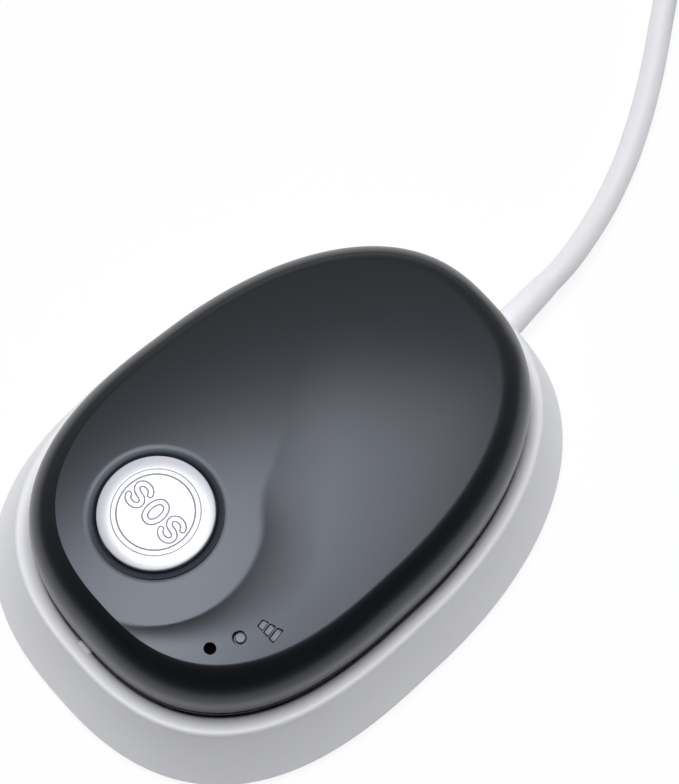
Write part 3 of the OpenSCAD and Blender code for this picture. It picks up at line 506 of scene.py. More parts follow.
def smoothPath(points, step, perSpan=12):
    # a curve through points, walked in even steps: each span blends the two parabolas through its neighbours,
    # and is paced by the roots of the chords
    p = np.vstack([2 * points[0] - points[1], points, 2 * points[-1] - points[-2]])
    t = np.concatenate([[0], np.cumsum(np.sqrt(np.linalg.norm(np.diff(p, axis=0), axis=1)))])
    share = np.linspace(0, 1, perSpan, endpoint=False)
    k = np.arange(1, len(p) - 2)[:, None]
    at = t[k] + (t[k + 1] - t[k]) * share

    def blend(a, b, ta, tb):
        return a * ((tb - at) / (tb - ta))[..., None] + b * ((at - ta) / (tb - ta))[..., None]

    p0, p1, p2, p3 = (p[k + d] for d in (-1, 0, 1, 2))
    t0, t1, t2, t3 = (t[k + d] for d in (-1, 0, 1, 2))
    a1, a2, a3 = blend(p0, p1, t0, t1), blend(p1, p2, t1, t2), blend(p2, p3, t2, t3)
    curve = blend(blend(a1, a2, t0, t2), blend(a2, a3, t1, t3), t1, t2).reshape(-1, 3)
    curve = np.vstack([curve, points[-1]])
    walked = np.concatenate([[0], np.cumsum(np.linalg.norm(np.diff(curve, axis=0), axis=1))])
    stops = np.linspace(0, walked[-1], int(round(walked[-1] / step)) + 1)
    return np.stack([np.interp(stops, walked, curve[:, i]) for i in range(3)], axis=-1), walked[-1]


def tubeGrid(path, radius, sides):
    # a circle carried along a path that stays mostly level
    ahead = unit(np.gradient(path, axis=0))
    across = unit(np.cross([0, 0, 1], ahead))
    up = np.cross(ahead, across)
    angle = fullTurn(sides)[:, None, None]
    return path + radius * (np.cos(angle) * across + np.sin(angle) * up)


bootYaw = math.radians(lead["bootYaw"])
bootDir = np.array([-math.sin(bootYaw), math.cos(bootYaw), 0])
bootRoot = np.array(lead["bootRoot"])
bootEnd = bootRoot + bootDir * lead["bootLong"]
coilPath, coilAngles = coilPoints(np.arange(lead["coilSteps"] + 1.0))
coilHeads = np.stack([np.sin(coilAngles), -np.cos(coilAngles), 0 * coilAngles], axis=-1)
coilIn = coilPath[0] - lead["wide"] * coilHeads[0]
coilOut = coilPath[-1] + lead["wide"] * coilHeads[-1]
plugIn = np.array(lead["plugAt"]) + [0, lead["plugNeck"], 0]
straight = lead["straight"] * lead["wide"]
leadPoints = np.vstack([
    bootEnd, bootEnd + straight * bootDir, lead["route"], coilIn - straight * coilHeads[0], coilIn,
    coilPath, coilOut, coilOut + straight * coilHeads[-1], lead["tail"], plugIn + [0, straight, 0], plugIn])
leadPath, leadLong = smoothPath(leadPoints, lead["step"])
leadCord = surface("leadCord", [(tubeGrid(leadPath, lead["wide"] / 2, lead["sides"]), False, True)], sharp=60)
dress(leadCord, whitePvc, "dock", "cord_jacket", "cable_lead", "cable_coil", "cable_tail")
print("lead is", round(leadLong), "mm long")

# strain relief: a tapered boot, a little waisted, whose end runs out on the lead
boot = {
    "rootR": 1.85, "tipR": 1.63, "rootLong": 1.0, "waist": 0.85, "core": 0.05,
    "neckR": 1.35, "neckLong": 2.5, "flangeR": 2.0, "flangeEnd": 3.5,
    "runOut": 1.3, "runOutR": 1.58, "runOutMid": 0.5,
    "sides": 64, "taperRows": 14, "runOutRows": 9,
}
taper = np.linspace(0, 1, boot["taperRows"])
taperLong = lead["bootLong"] - boot["runOut"] - boot["rootLong"]
bootSide = np.stack([boot["rootR"] + (boot["tipR"] - boot["rootR"]) * taper ** boot["waist"],
                     boot["rootLong"] + taperLong * taper], axis=-1)
bootRunOut = rounded(bootSide[-1], (boot["runOutR"], lead["bootLong"] - boot["runOutMid"]),
                     (lead["wide"] / 2, lead["bootLong"]), boot["runOutRows"])[1:]
bootProfile = np.vstack([
    [(boot["core"], -boot["flangeEnd"]), (boot["flangeR"], -boot["flangeEnd"]),
     (boot["flangeR"], -boot["neckLong"]), (boot["neckR"], -boot["neckLong"]), (boot["neckR"], 0),
     (boot["rootR"], 0)],
    bootSide, bootRunOut, [(boot["core"], lead["bootLong"])]])
leadBoot = surface("leadBoot", [(turned(bootProfile, bootRoot, bootDir, boot["sides"]), False, True)])
dress(leadBoot, whitePvc, "dock", "white_rubber", "strain_relief")

# tie: a soft flat strap, carried round all the turns on the side towards the dock along a squared loop
strap = {
    "wide": 4.8, "thick": 0.42, "innerR": 11.53, "outerR": 22.47, "top": 14.2, "slack": 0.25,
    "loopPower": 0.36, "edgePower": 0.35, "loopSides": 160, "edgeRows": 24,
}
loopHalf = np.array([(strap["outerR"] - strap["innerR"]) / 2 + strap["slack"], strap["top"] / 2])
loopMid = np.array([-(strap["outerR"] + strap["innerR"]) / 2, strap["top"] / 2 + strap["slack"]])
loop = loopMid + loopHalf * squared(heading(fullTurn(strap["loopSides"])), strap["loopPower"])
strapPath = np.insert(loop + [lead["coilAt"][1], 0], 0, lead["coilAt"][0], axis=1)
strapAhead = unit(np.roll(strapPath, -1, axis=0) - np.roll(strapPath, 1, axis=0))
strapAcross = np.array([1, 0, 0])
strapOut = np.cross(strapAhead, strapAcross)
strapEdge = squared(heading(fullTurn(strap["edgeRows"])), strap["edgePower"])
strapEdge = strapEdge * np.array([strap["wide"], strap["thick"]]) / 2
strapGrid = strapPath[:, None] + strapEdge[:, :1] * strapAcross + strapEdge[:, 1:] * strapOut[:, None]
leadTie = surface("leadTie", [(strapGrid, True, False)])
dress(leadTie, greyRubber, "dock", "grey_rubber", "cable_tie")

# plug grip: a rounded bar with finger grooves, its ends rounded off, and a neck where the lead goes in
grip = {
    "wide": 15.5, "high": 8.0, "long": 22.0, "power": 0.42,
    "tailRound": 1.4, "headRound": 0.9, "drawIn": 1.2,
    "grooves": (6.0, 8.4, 10.8, 13.2), "grooveDeep": 0.3, "grooveWide": 0.55,
    "rows": (8, 110, 8), "rowGaps": (0.2, 0.1),  # on the tail's rounding, the grooves, the head's rounding
    "neck": [(0.05, 0), (1.85, 0), (2.6, -2.4), (3.2, -3.2), (0.05, -3.4)], "neckRound": 0.4,
    "sides": 96, "neckSides": 48,
}
gripStops = (grip["tailRound"], grip["long"] - grip["headRound"])
gripY = np.concatenate([
    np.linspace(0, gripStops[0], grip["rows"][0]),
    np.linspace(gripStops[0] + grip["rowGaps"][0], gripStops[1] - grip["rowGaps"][1], grip["rows"][1]),
    np.linspace(gripStops[1], grip["long"], grip["rows"][2])])
endShare = np.minimum(np.minimum(gripY / grip["tailRound"], (grip["long"] - gripY) / grip["headRound"]), 1)
shrink = grip["drawIn"] * (1 - np.sqrt(np.maximum(1 - (1 - endShare) ** 2, 0)))
groove = sum(np.exp(-((gripY - g) / grip["grooveWide"]) ** 2) for g in grip["grooves"]) * grip["grooveDeep"]
gripAngle = fullTurn(grip["sides"])[:, None]
gripX = squared(np.cos(gripAngle), grip["power"]) * (grip["wide"] / 2 - shrink - groove)
gripZ = squared(np.sin(gripAngle), grip["power"]) * (grip["high"] / 2 - shrink)
gripGrid = lead["plugAt"] + np.stack(np.broadcast_arrays(gripX, -gripY, gripZ), axis=-1)
neckGrid = turned(softPolygon(grip["neck"], grip["neckRound"]), plugIn, (0, 1, 0), grip["neckSides"])
plugGrip = surface("plugGrip", [(gripGrid, False, True), (neckGrid, False, True)])
dress(plugGrip, whitePvc, "dock", "white_rubber", "plug_grip")
print("lead, tie and plug made")


# Pendant, upper cover: the top face, its crest and scoop, the button's seat and the indicator pits

cover = {
    "boreR": 7.59, "boreDeep": 1.6, "boreRows": (0.5, 0.15), "dishWide": 0.6, "dishDeep": 0.05,
    "micAt": (11.7, -21.7), "micR": 0.62, "micDeep": 1.4,
    "lightAt": (12.9, -18.5), "lightR": 0.72, "lightDeep": 0.5,
    "barsAt": (13.05, -15.7), "barsTurn": 11.0, "barsLong": 2.7, "barsNarrow": 0.8, "barsWide": 1.75,
    "barsGap": 0.3, "barsDeep": 0.4, "bars": 3, "pitWall": 0.05,
    "fineSector": (-57.0, -19.0), "fineSpokes": 190, "coarseSpokes": 250,  # spokes crowd over the pits
    "faceMid": 0.5, "faceRows": (42, 98),  # rows up to this share of the face, and closer ones beyond it
    "dishRows": 8, "dishEnd": 0.9, "shoulderRows": 24, "creaseRows": 9,
    "faceEnd": 0.975, "shoulderEnd": 0.955,  # shares at which the rounded crease takes over
    # heights of the rows below the shoulder, and how far each is set in from the belly's curve
    "skirt": [(14.4, 0), (13.6, 0), (12.9, 0), (12.57, 0), (12.48, 0.02), (12.45, 0.1), (12.45, 1.5)],
    "innerRise": (0.0, 0.6, 1.0), "innerFace": (0.7, 0.45, 0.2, 0.05),
}
barsAlong = heading(math.radians(cover["barsTurn"]))
barsAcross = np.array([-barsAlong[1], barsAlong[0]])
barEach = cover["barsLong"] / cover["bars"]


def barHalf(s):
    # half the fan's width at a place along it
    return (cover["barsNarrow"] + (cover["barsWide"] - cover["barsNarrow"]) * s / cover["barsLong"]) / 2


def barsDistance(p):
    # least distance outside any of the bars, negative inside
    rel = p - np.array(cover["barsAt"])
    s, across = rel @ barsAlong, rel @ barsAcross
    starts = np.arange(cover["bars"]) * barEach + cover["barsGap"] / 2
    ends = np.arange(1, cover["bars"] + 1) * barEach - cover["barsGap"] / 2
    beyond = np.maximum(starts - s[..., None], s[..., None] - ends).min(axis=-1)
    return np.maximum(beyond, np.abs(across) - barHalf(s))


def pitDepth(p):
    # round pits for the microphone and the light, and the bars' pits, all with steep walls
    mic = np.linalg.norm(p - np.array(cover["micAt"]), axis=-1) - cover["micR"]
    light = np.linalg.norm(p - np.array(cover["lightAt"]), axis=-1) - cover["lightR"]
    pits = ((mic, cover["micDeep"]), (light, cover["lightDeep"]), (barsDistance(p), cover["barsDeep"]))
    return sum(smoothStep(0.5 - away / (2 * cover["pitWall"])) * deep for away, deep in pits)


def ringOnButton(angle, radius):
    # a circle square to the button's axis, seen from above
    ring = np.cos(angle)[..., None] * buttonSide + np.sin(angle)[..., None] * buttonOther
    return buttonAt + radius * ring[..., :2]


sectorStart, sectorEnd = cover["fineSector"]
spokes = np.radians(np.concatenate([
    np.linspace(sectorStart, sectorEnd, cover["fineSpokes"], endpoint=False),
    np.linspace(sectorEnd, sectorStart + 360, cover["coarseSpokes"], endpoint=False)]))
faceShare = np.concatenate([
    np.linspace(0, cover["faceMid"], cover["faceRows"][0], endpoint=False),
    np.linspace(cover["faceMid"], cover["faceEnd"], cover["faceRows"][1])])
faceEdge = egg(spokes, body["shoulderIn"])
faceStart = ringOnButton(spokes, cover["boreR"] + cover["dishWide"])
faceXy = between(faceStart, faceEdge, faceShare)
face = atHeight(faceXy, topZ(faceXy) - pitDepth(faceXy))

# bore, then a shallow dish whose depth goes by the square of the distance inside its edge
dishShare = np.linspace(0, cover["dishEnd"], cover["dishRows"])
boreShape = np.vstack([
    [(0, -deep) for deep in (cover["boreDeep"], *cover["boreRows"])],
    np.stack([cover["dishWide"] * dishShare, -cover["dishDeep"] * (1 - dishShare) ** 2], axis=-1)])
boreRing = np.stack([ringOnButton(spokes, cover["boreR"] + r) for r in boreShape[:, 0]], axis=1)
boreWall = atHeight(boreRing, topZ(boreRing) + boreShape[:, 1])

# side: a rounded crease, an elliptic shoulder to the widest level, and the belly's curve to the parting line
edgeHeight = topZ(faceEdge)
rise = np.linspace(cover["shoulderEnd"], 0, cover["shoulderRows"])
shoulder = atHeight(egg(spokes[:, None], shoulderInset(rise)),
                    widestZ + rise * (edgeHeight[:, None] - widestZ))
creaseCorner = atHeight(faceEdge, edgeHeight)[:, None]
crease = rounded(face[:, -1:], creaseCorner, shoulder[:, :1], cover["creaseRows"])[:, 1:-1]
skirtZ, skirtIn = np.array(cover["skirt"]).T
skirt = atHeight(egg(spokes[:, None], bellyInset(skirtZ) + skirtIn), skirtZ)

# inner skin, a wall thickness behind
innerRise = np.array(cover["innerRise"])
innerSide = atHeight(egg(spokes[:, None], shoulderInset(innerRise) + body["wall"]),
                     widestZ + innerRise * (edgeHeight[:, None] - body["wall"] - widestZ))
innerXy = between(faceStart, faceEdge, cover["innerFace"])
innerFace = atHeight(innerXy, topZ(innerXy) - body["wall"])

topGrid = np.concatenate([boreWall, face, crease, shoulder, skirt, innerSide, innerFace], axis=1)
pendantTop = surface("pendantTop", [(topGrid, True, False)], sharp=38)
dress(pendantTop, charcoalLacquer, "pendant", "charcoal_plastic", "top_cover")

# lower cover: a smooth skin drawn tight over the solid's curved side, a little fuller below the parting line
skin = {
    "proud": 0.03, "fuller": 0.12, "over": 1.5, "deep": 0.35, "innerUp": 0.2, "innerEvery": 6,
    "sides": 300, "rows": 60, "crowd": 1.8,  # rows crowd towards the bottom by this power
    # (inset, height) of the top edge, of its rounding against the first row, and of the bottom edge
    "topEdge": [(0.55, 12.17), (0.12, 12.17)], "topRound": (0.02, 12.14),
    "bottomEdge": [(9.4, 5.32), (9.4, 5.5)],
}
bellyShare = np.linspace(0, 1, skin["rows"])[::-1] ** skin["crowd"]
bellyZ = body["seatZ"] + (body["partingZ"] - body["seatZ"]) * bellyShare
bellyFull = skin["fuller"] * smoothStep((body["partingZ"] - bellyZ) / skin["over"])
belly = np.stack([bellyInset(bellyZ) - skin["proud"] - bellyFull, bellyZ], axis=-1)
skinIn, skinZ = np.vstack([
    skin["topEdge"], (belly[0, 0] + skin["topRound"][0], skin["topRound"][1]), belly[1:], skin["bottomEdge"],
    belly[::-skin["innerEvery"]] + (skin["deep"], skin["innerUp"])]).T
skinGrid = atHeight(egg(fullTurn(skin["sides"])[:, None], skinIn), skinZ)
pendantBelly = surface("pendantBelly", [(skinGrid, True, False)], sharp=40)
dress(pendantBelly, charcoalLacquer, "pendant", "black_plastic")
print("pendant covers made")


# Call button: a flat disc with a falling rim, two engraved rings and an engraved distress legend

cap = {
    "r": 6.65, "proud": 0.35, "flat": 0.7, "fall": 0.34, "deep": 1.6, "stemR": 1.5, "stemEnd": 3.56,
    "core": 0.03, "engravedR": 5.2, "rim": (5.25, 6.5), "spokes": 480, "engravedRows": 118, "rimRows": 14,
    "edge": [(0.07, 0.02), (0.02, -0.04), (0, -0.14)],  # how far inside the radius, and height from the rim
    "footRound": 0.1,
    "rings": ((0.758, 0.06, 0.65), (0.662, 0.07, 0.9)),  # share of the radius, half width, strength
    "lineDeep": 0.06, "lineHalf": 0.06, "lineStrength": 0.9,
    "lineEnd": 1.5,  # half widths at which a line has faded out
    "letterPitch": 2.76, "letterHalf": (0.89, 1.34), "stroke": 0.31,
    "upperTurn": (15, 270), "lowerTurn": (90, -165), "turnSteps": 40,  # degrees of an S's two rounds
    "roundPower": 0.85, "roundSteps": 72,
}


def letterS(halfWide, halfHigh):
    # centre line of an S: two open half rounds, one above the other
    turns = (np.linspace(*cap[key], cap["turnSteps"]) for key in ("upperTurn", "lowerTurn"))
    upper, lower = (np.radians(turn) for turn in turns)
    r = halfHigh / 2
    top = np.stack([halfWide * np.cos(upper), r + r * np.sin(upper)], axis=-1)
    bottom = np.stack([halfWide * np.cos(lower), -r + r * np.sin(lower)], axis=-1)
    return np.vstack([top, bottom[1:]])


def letterO(halfWide, halfHigh):
    # centre line of an O: an ellipse, a little squared
    angle = np.linspace(0, 2 * np.pi, cap["roundSteps"])
    return np.stack([halfWide * squared(np.cos(angle), cap["roundPower"]), halfHigh * np.sin(angle)], axis=-1)


def lineDistance(p, line):
    # distance from points to a chain of segments
    best = np.full(p.shape[:-1], np.inf)
    for a, b in zip(line[:-1], line[1:]):
        along = np.clip(((p - a) @ (b - a)) / ((b - a) @ (b - a)), 0, 1)
        best = np.minimum(best, np.linalg.norm(p - a - along[..., None] * (b - a), axis=-1))
    return best


def engraving(p):
    # 1 in the middle of an engraved line, 0 outside: rings, and the outline of each letter's stroke
    r = np.linalg.norm(p, axis=-1)
    depth = np.zeros(p.shape[:-1])
    for share, half, strength in cap["rings"]:
        depth = np.maximum(depth, strength * smoothStep(cap["lineEnd"] - np.abs(r - share * cap["r"]) / half))
    for place, letter in ((-1, letterS), (0, letterO), (1, letterS)):
        away = lineDistance(p - [place * cap["letterPitch"], 0], letter(*cap["letterHalf"]))
        gap = np.abs(away - cap["stroke"])
        depth = np.maximum(depth, cap["lineStrength"] * smoothStep(cap["lineEnd"] - gap / cap["lineHalf"]))
    return depth


capSpokes = fullTurn(cap["spokes"])
capRadii = np.concatenate([np.linspace(cap["core"], cap["engravedR"], cap["engravedRows"]),
                           np.linspace(*cap["rim"], cap["rimRows"])])
capXy = capRadii[None, :, None] * heading(capSpokes)[:, None]
capLines = engraving(capXy)
rimShare = np.clip((capRadii / cap["r"] - cap["flat"]) / (1 - cap["flat"]), 0, 1)
capHigh = cap["proud"] - cap["fall"] * rimShare ** 2 - cap["lineDeep"] * capLines
capTop = buttonCentre + atHeight(capXy, capHigh) @ [buttonSide, buttonOther, buttonAxis]
rimHigh = cap["proud"] - cap["fall"]
sideProfile = np.array([
    *((cap["r"] - inside, rimHigh + high) for inside, high in cap["edge"]),
    (cap["r"], -cap["deep"] + cap["footRound"]), (cap["r"] - cap["footRound"], -cap["deep"]),
    (cap["stemR"], -cap["deep"]), (cap["stemR"], -cap["stemEnd"]), (cap["core"], -cap["stemEnd"])])
capSide = turned(sideProfile, buttonCentre, buttonAxis, cap["spokes"])
capMarks = np.concatenate([capLines, np.zeros(capSide.shape[:2])], axis=1)
buttonCap = surface("buttonCap", [(np.concatenate([capTop, capSide], axis=1), False, True)], sharp=50,
                    marks={"groove": capMarks})
dress(buttonCap, silverLacquer, "call_button", "silver_plastic", "sos_button")

# seal: the ring that goes on with the cover's dish down to the cap, its flange, and its skin round the stem
seal = {
    "profile": [(6.8, -2.2), (6.8, -0.5), (7.05, -0.2), (7.585, -0.05), (7.585, -2.1), (8.7, -2.1),
                (8.7, -2.9), (1.56, -2.9), (1.56, -2.3), (6.8, -2.3)],
    "round": 0.03, "sides": 128,
}
sealProfile = softPolygon(seal["profile"], seal["round"])
sealGrid = turned(sealProfile, buttonCentre, buttonAxis, seal["sides"])
buttonSeal = surface("buttonSeal", [(sealGrid, True, False)])
dress(buttonSeal, slateSilicone, "pendant", "slate_rubber", "button_seal")
print("button made")


# Indicators: a near-black membrane in the microphone hole, partly painted shade; a round light guide, three
# bar lenses

membrane = {
    "profile": [(0.02, -1.3), (0.5, -1.31), (0.7, -1.33), (0.7, -1.45), (0.02, -1.45)], "sides": 40,
}
micZ, lightZ = (float(topZ(np.array(cover[key]))) for key in ("micAt", "lightAt"))
membraneGrid = turned(membrane["profile"], (*cover["micAt"], micZ), straightUp, membrane["sides"])
# the membrane's near black is painted shade at the foot of the microphone hole, as well as a mesh
micMembrane = surface("micMembrane", [(membraneGrid, False, True)])
dress(micMembrane, meshPaintedShade, "pendant", "black_rubber")

# the light's guide is flat, and stands to one side of its hole, a little below the face
guide = {
    "r": 0.61, "shift": (0.03, 0.12), "down": 0.08, "edge": (0.2, 0.1), "end": 1.4, "core": 0.02,
    "sides": 48, "edgeRows": 7,
}
guideTop = rounded((guide["r"] - guide["edge"][0], -guide["down"]), (guide["r"], -guide["down"]),
                   (guide["r"], -guide["down"] - guide["edge"][1]), guide["edgeRows"])
guideProfile = np.vstack([[(guide["core"], -guide["down"])], guideTop,
                          [(guide["r"], -guide["end"]), (guide["core"], -guide["end"])]])
guideFoot = (*(np.array(cover["lightAt"]) + guide["shift"]), lightZ)
guideGrid = turned(guideProfile, guideFoot, straightUp, guide["sides"])
roundLight = surface("roundLight", [(guideGrid, False, True)])
dress(roundLight, smokyLens, "pendant", "clear_plastic", "light_pipe")

# each lens is a squared round as wide as the fan is there, with (share of its half size, height) along it
lens = {
    "power": 0.3, "sides": 64,
    "profile": [(0.05, -0.1), (0.6, -0.1), (0.9, -0.1), (0.97, -0.13), (0.98, -0.4), (0.98, -1.2),
                (0.05, -1.2)],
}
lensShare, lensHigh = np.array(lens["profile"]).T
lensAngle = fullTurn(lens["sides"])[:, None]
lensX, lensY = squared(np.cos(lensAngle), lens["power"]), squared(np.sin(lensAngle), lens["power"])
barGrids = []
for bar in range(cover["bars"]):
    barS = (bar + 0.5) * barEach + lensX * (barEach - cover["barsGap"]) / 2 * lensShare
    barSide = lensY * barHalf(barS) * lensShare
    barXy = np.array(cover["barsAt"]) + barS[..., None] * barsAlong + barSide[..., None] * barsAcross
    barGrids.append((atHeight(barXy, topZ(barXy) + lensHigh), False, True))
signalBars = surface("signalBars", barGrids)
dress(signalBars, smokyLens, "pendant", "clear_plastic", "signal_window")
print("indicators made")


# Dock: foot, straight wall, lip and bowl in one closed skin round the contact window

dock = {
    "baseZ": 0.5, "footZ": 1.1, "footRound": 0.5, "flare": 4.79,
    "lipZ": 10.0, "high": 10.9, "lipOut": 1.5, "lipEdge": 0.4,
    "bowlZ": 4.95, "bowlGap": 0.4, "bowlCrowd": 1.6,  # rows crowd towards the bowl's foot by this power
    "window": (5.46, 2.15), "windowPower": 0.12,
    "sides": 320, "edgeRows": 8, "wallRows": 14, "slopeRows": 14, "bowlRows": 34,
    # share of the way from the bowl's foot to the window, and drop
    "floor": [(0.03, 0), (0.25, 0), (0.5, 0), (0.75, 0), (0.95, 0), (0.985, -0.02), (1.0, -0.08),
              (1.0, -1.4)],
    # offset from the pendant's outline, and height, of the underside
    "under": [(-8.5, 3.55), (-6.0, 3.8), (-4.5, 4.35), (-1.2, 6.8), (1.4, 6.8), (3.2, 1.2), (3.2, 0.5)],
}
bowlDeep = widestZ - dock["bowlZ"]
lipDepth = (widestZ - dock["lipZ"]) / bowlDeep
lipIn = dock["bowlGap"] - float(quarterInset(lipDepth))
quarter = np.linspace(0, np.pi / 2, dock["edgeRows"])
footEdge = np.stack([dock["flare"] - dock["footRound"] * (1 - np.sin(quarter)),
                     dock["footZ"] - (dock["footZ"] - dock["baseZ"]) * np.cos(quarter)], axis=-1)
wallShare = np.linspace(0, 1, dock["wallRows"])[1:-1, None]
wallFoot = np.array([dock["flare"], dock["footZ"]])
wallTop = np.array([dock["lipOut"] + dock["lipEdge"], dock["high"] - dock["lipEdge"]])
wallLine = (1 - wallShare) * wallFoot + wallShare * wallTop
lipEdge = np.stack([dock["lipOut"] + dock["lipEdge"] * np.cos(quarter),
                    dock["high"] - dock["lipEdge"] * (1 - np.sin(quarter))], axis=-1)
slopeAngle = np.linspace(np.pi / 2, 0, dock["slopeRows"])[1:]
lipSlope = np.stack([lipIn + (dock["lipOut"] - lipIn) * (1 - np.cos(slopeAngle)),
                     dock["lipZ"] + (dock["high"] - dock["lipZ"]) * np.sin(slopeAngle)], axis=-1)
bowlShare = np.linspace(0, 1, dock["bowlRows"])[1:]
bowlDepth = lipDepth + (1 - lipDepth) * (1 - (1 - bowlShare) ** dock["bowlCrowd"])
bowlSide = np.stack([dock["bowlGap"] - quarterInset(bowlDepth), widestZ - bowlDeep * bowlDepth], axis=-1)
outside = np.vstack([footEdge, wallLine, lipEdge, lipSlope, bowlSide])
dockAngles = fullTurn(dock["sides"])
outsideXy = egg(dockAngles[:, None], -outside[:, 0])
# the floor runs from the bowl's foot to a squared window, then back underneath
floorEdge = outsideXy[:, -1]
windowHalf = np.array(dock["window"])
windowAngle = np.arctan2(floorEdge[:, 1] / windowHalf[1], floorEdge[:, 0] / windowHalf[0])
window = windowHalf * squared(heading(windowAngle), dock["windowPower"])
floorShare, floorDrop = np.array(dock["floor"]).T
underOut, underZ = np.array(dock["under"]).T
dockGrid = np.concatenate([atHeight(outsideXy, outside[:, 1]),
                           atHeight(between(floorEdge, window, floorShare), dock["bowlZ"] + floorDrop),
                           atHeight(egg(dockAngles[:, None], -underOut), underZ)], axis=1)
dockShell = surface("dockShell", [(dockGrid, True, False)], sharp=40)
dress(dockShell, whiteAbs, "dock", "white_plastic", "dock_shell")

# seat pads on the bowl's floor
pads = {
    "profile": [(0.03, 0.4), (2.0, 0.4), (2.0, -0.3), (0.03, -0.3)], "round": 0.15,
    "sides": 48, "roundRows": 5,
    "places": [(8, 13.5), (8, -13.5), (-8, 13.5), (-8, -13.5)],
}
padProfile = softPolygon(pads["profile"], pads["round"], pads["roundRows"])
padCentres = [(*place, dock["bowlZ"]) for place in pads["places"]]
padGrids = [turned(padProfile, centre, straightUp, pads["sides"]) for centre in padCentres]
seatPads = surface("seatPads", [(grid, False, True) for grid in padGrids])
dress(seatPads, whiteAbs, "dock", "white_plastic")

# locating rib at the button end: a squared ball
rib = {
    "centre": (0, -31.0, 9.3), "half": (1.0, 0.85, 1.35), "power": 0.22, "poleGap": 0.05,
    "sides": 48, "rows": 24,
}
ribAround = fullTurn(rib["sides"])[:, None]
ribUp = np.linspace(-np.pi / 2 + rib["poleGap"], np.pi / 2 - rib["poleGap"], rib["rows"])
ribRound = squared(heading(ribAround), rib["power"]) * squared(np.cos(ribUp), rib["power"])[:, None]
ribBall = atHeight(ribRound, squared(np.sin(ribUp), rib["power"]))
locatingRib = surface("locatingRib", [(rib["centre"] + np.array(rib["half"]) * ribBall, False, True)])
dress(locatingRib, whiteAbs, "dock", "white_plastic")
print("dock made")


# Solids that stay as they are get their finishes

nodeFinish = {
    "bottom_cover": charcoalLacquer, "cover_gasket": blackRubber, "main_board": solderMask,
    "board_screws": nickelSteel, "battery": foilPouch, "speaker": blackAbs, "vibration_motor": nickelSteel,
    "gps_antenna": patchCeramic, "cellular_module": nickelSteel, "sim_holder": nickelSteel,
    "tact_switch": blackAbs, "microphone": goldPlate, "mic_boot": blackRubber, "status_leds": smokyLens,
    "charge_contacts": goldPlate, "keeper_discs": nickelSteel, "switch_plunger": ivoryNylon,
    "dock_base": whiteAbs, "dock_screws": nickelSteel, "rubber_feet": greyRubber, "dock_board": solderMask,
    "charge_chip": blackAbs, "contact_block": blackAbs, "pin_barrels": goldPlate, "contact_pin_1": goldPlate,
    "contact_pin_2": goldPlate, "contact_pin_3": goldPlate, "contact_pin_4": goldPlate,
    "dock_magnets": nickelSteel, "dock_wires": redInsulation, "plug_shell": nickelSteel,
    "plug_tongue": ivoryNylon, "plug_contacts": goldPlate,
}
for name, material in nodeFinish.items():
    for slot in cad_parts[name].material_slots:
        slot.material = material
print("solids finished")


# Studio: paper seen white by the camera, with a pool of light painted on its colour round the object; two
# softboxes side by side overhead; a room that is light behind the object and dark behind the camera

studio = {
    "floorHalf": 2500.0, "floorColour": "#ffffff", "whiteShare": 0.88, "glow": 1.0,
    # the paper's colour is a painted pool of light: white within the first of litR from litAt, fading to
    # unlit at the second
    "litAt": (-10.0, 25.0, 0.0), "litR": (88.0, 120.0), "unlit": 0.1, "lampHigh": 1500.0,
    # edges of each softbox in degrees from overhead, towards the camera's side and to its right; radiance
    "lamps": {"softboxLeft": ((-20.0, 8.0), (-19.0, 1.5), 9.5),
              "softboxRight": ((-20.0, 8.0), (1.5, 17.0), 4.9)},
    # strength behind the object and behind the camera, and the span of the grade from one to the other
    "room": (0.5, 0.07), "roomSpan": (-0.8, 0.5),
    "backdrop": (-0.95, -0.8),  # the white backdrop ends over this span
}
viewAz = math.radians(photoView["azimuth"])
towardView = np.array([math.sin(viewAz), -math.cos(viewAz), 0])
rightOfView = np.array([math.cos(viewAz), math.sin(viewAz), 0])


def whiteRays(tree, path, shown):
    # 1 for the camera's rays; reflected and transmitted rays see white where the background is shown to them
    mirrored = addNode(tree, "Math", {"operation": "MAXIMUM"},
                       {0: (path, "Is Glossy Ray"), 1: (path, "Is Transmission Ray")})
    inShown = addNode(tree, "Math", {"operation": "MULTIPLY"}, {0: (mirrored, 0), 1: (shown, "Result")})
    return addNode(tree, "Math", {"operation": "MAXIMUM"}, {0: (inShown, 0), 1: (path, "Is Camera Ray")})


def makePaper():
    # painted pool of light: the paper is white round the object and near black beyond; the camera sees it all
    # white
    material, tree = newMaterial("studioPaper")
    path = addNode(tree, "LightPath")
    coords = addNode(tree, "TexCoord")
    away = addNode(tree, "VectorMath",
                   {"operation": "DISTANCE", 1: [v * mm for v in studio["litAt"]]}, {0: (coords, "Object")})
    # painted light: the paper's brightness, 1 round the object and falling to unlit beyond
    near, far = studio["litR"]
    lit = addNode(tree, "MapRange",
                  {"From Min": near * mm, "From Max": far * mm, "To Min": 1.0, "To Max": studio["unlit"]},
                  {"Value": (away, "Value")})
    seen = addNode(tree, "Math", {"operation": "MAXIMUM"}, {0: (lit, "Result"), 1: (path, "Is Camera Ray")})
    paintedPoolColour = addNode(tree, "Mix",
                   {"data_type": "RGBA", colourA: (0, 0, 0, 1), colourB: linearColour(studio["floorColour"])},
                   {0: (seen, 0)})
    paper = addNode(tree, "BsdfDiffuse", None, {"Color": (paintedPoolColour, colourOut)})
    glow = addNode(tree, "Emission", {"Color": (1, 1, 1, 1), "Strength": studio["glow"]})
    share = addNode(tree, "Math", {"operation": "MULTIPLY", 1: studio["whiteShare"]},
                    {0: (whiteRays(tree, path, lit), 0)})
    both = addNode(tree, "MixShader", None, {0: (share, 0), 1: (paper, 0), 2: (glow, 0)})
    addNode(tree, "OutputMaterial", None, {"Surface": (both, 0)})
    return material


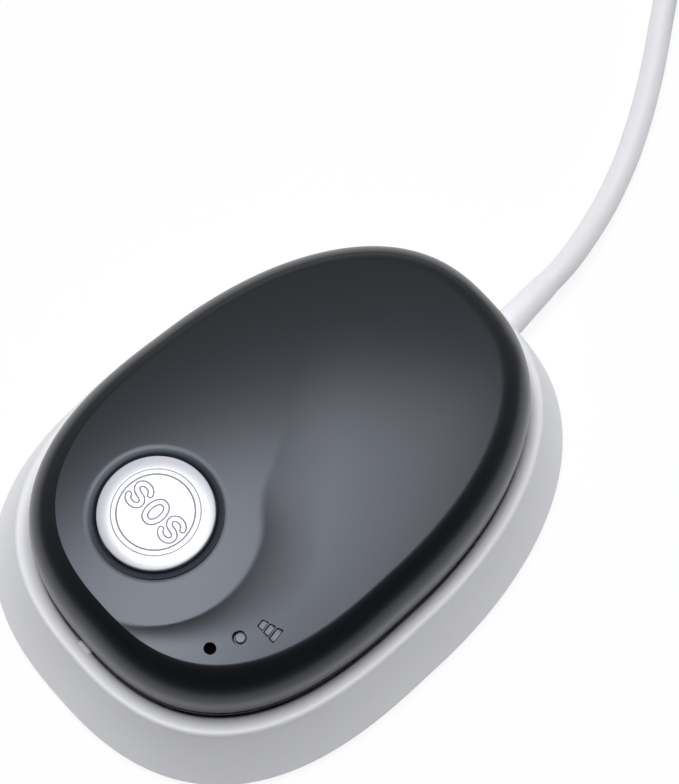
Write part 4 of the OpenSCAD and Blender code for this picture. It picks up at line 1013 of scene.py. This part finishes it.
def makeLamp(name, near, side, radiance):
    # a softbox between angles from straight above, towards the camera's side and to its right
    near, side = (np.tan(np.radians(v)) * studio["lampHigh"] for v in (near, side))
    lamp = bpy.data.lights.new(name, "AREA")
    lamp.shape = "RECTANGLE"
    lamp.size, lamp.size_y = (side[1] - side[0]) * mm, (near[1] - near[0]) * mm
    lamp.energy = radiance * math.pi * lamp.size * lamp.size_y
    at = near.mean() * towardView + side.mean() * rightOfView + [0, 0, studio["lampHigh"]]
    addObject(name, lamp, np.column_stack([rightOfView, -towardView, [0, 0, 1]]), at)


def makeRoom():
    # the room's strength is graded by how far a direction points towards the camera's side
    room = bpy.data.worlds.new("studioRoom")
    room.use_nodes = True
    tree = room.node_tree
    tree.nodes.clear()
    path = addNode(tree, "LightPath")
    coords = addNode(tree, "TexCoord")
    facing = addNode(tree, "VectorMath", {"operation": "DOT_PRODUCT", 1: towardView.tolist()},
                     {0: (coords, "Generated")})
    (back, front), (behind, before) = studio["roomSpan"], studio["room"]
    level = addNode(tree, "MapRange",
                    {"From Min": back, "From Max": front, "To Min": behind, "To Max": before},
                    {"Value": (facing, "Value")})
    fill = addNode(tree, "Background", {"Color": (1, 1, 1, 1)}, {"Strength": (level, "Result")})
    white = addNode(tree, "Background", {"Color": (1, 1, 1, 1), "Strength": studio["glow"]})
    whole, none = studio["backdrop"]
    backdrop = addNode(tree, "MapRange", {"From Min": whole, "From Max": none, "To Min": 1.0, "To Max": 0.0},
                       {"Value": (facing, "Value")})
    both = addNode(tree, "MixShader", None,
                   {0: (whiteRays(tree, path, backdrop), 0), 1: (fill, 0), 2: (white, 0)})
    addNode(tree, "OutputWorld", None, {"Surface": (both, 0)})
    return room


floorHalf = studio["floorHalf"] * mm
floorMesh = bpy.data.meshes.new("studioFloor")
floorCorners = [(x * floorHalf, y * floorHalf, 0) for x, y in ((-1, -1), (1, -1), (1, 1), (-1, 1))]
floorMesh.from_pydata(floorCorners, [], [(0, 1, 2, 3)])
studioFloor = addObject("studioFloor", floorMesh)
studioFloor.data.materials.append(makePaper())
for name, settings in studio["lamps"].items():
    makeLamp(name, *settings)
bpy.context.scene.world = makeRoom()
bpy.context.scene.view_settings.view_transform = "Standard"
print("studio lit")
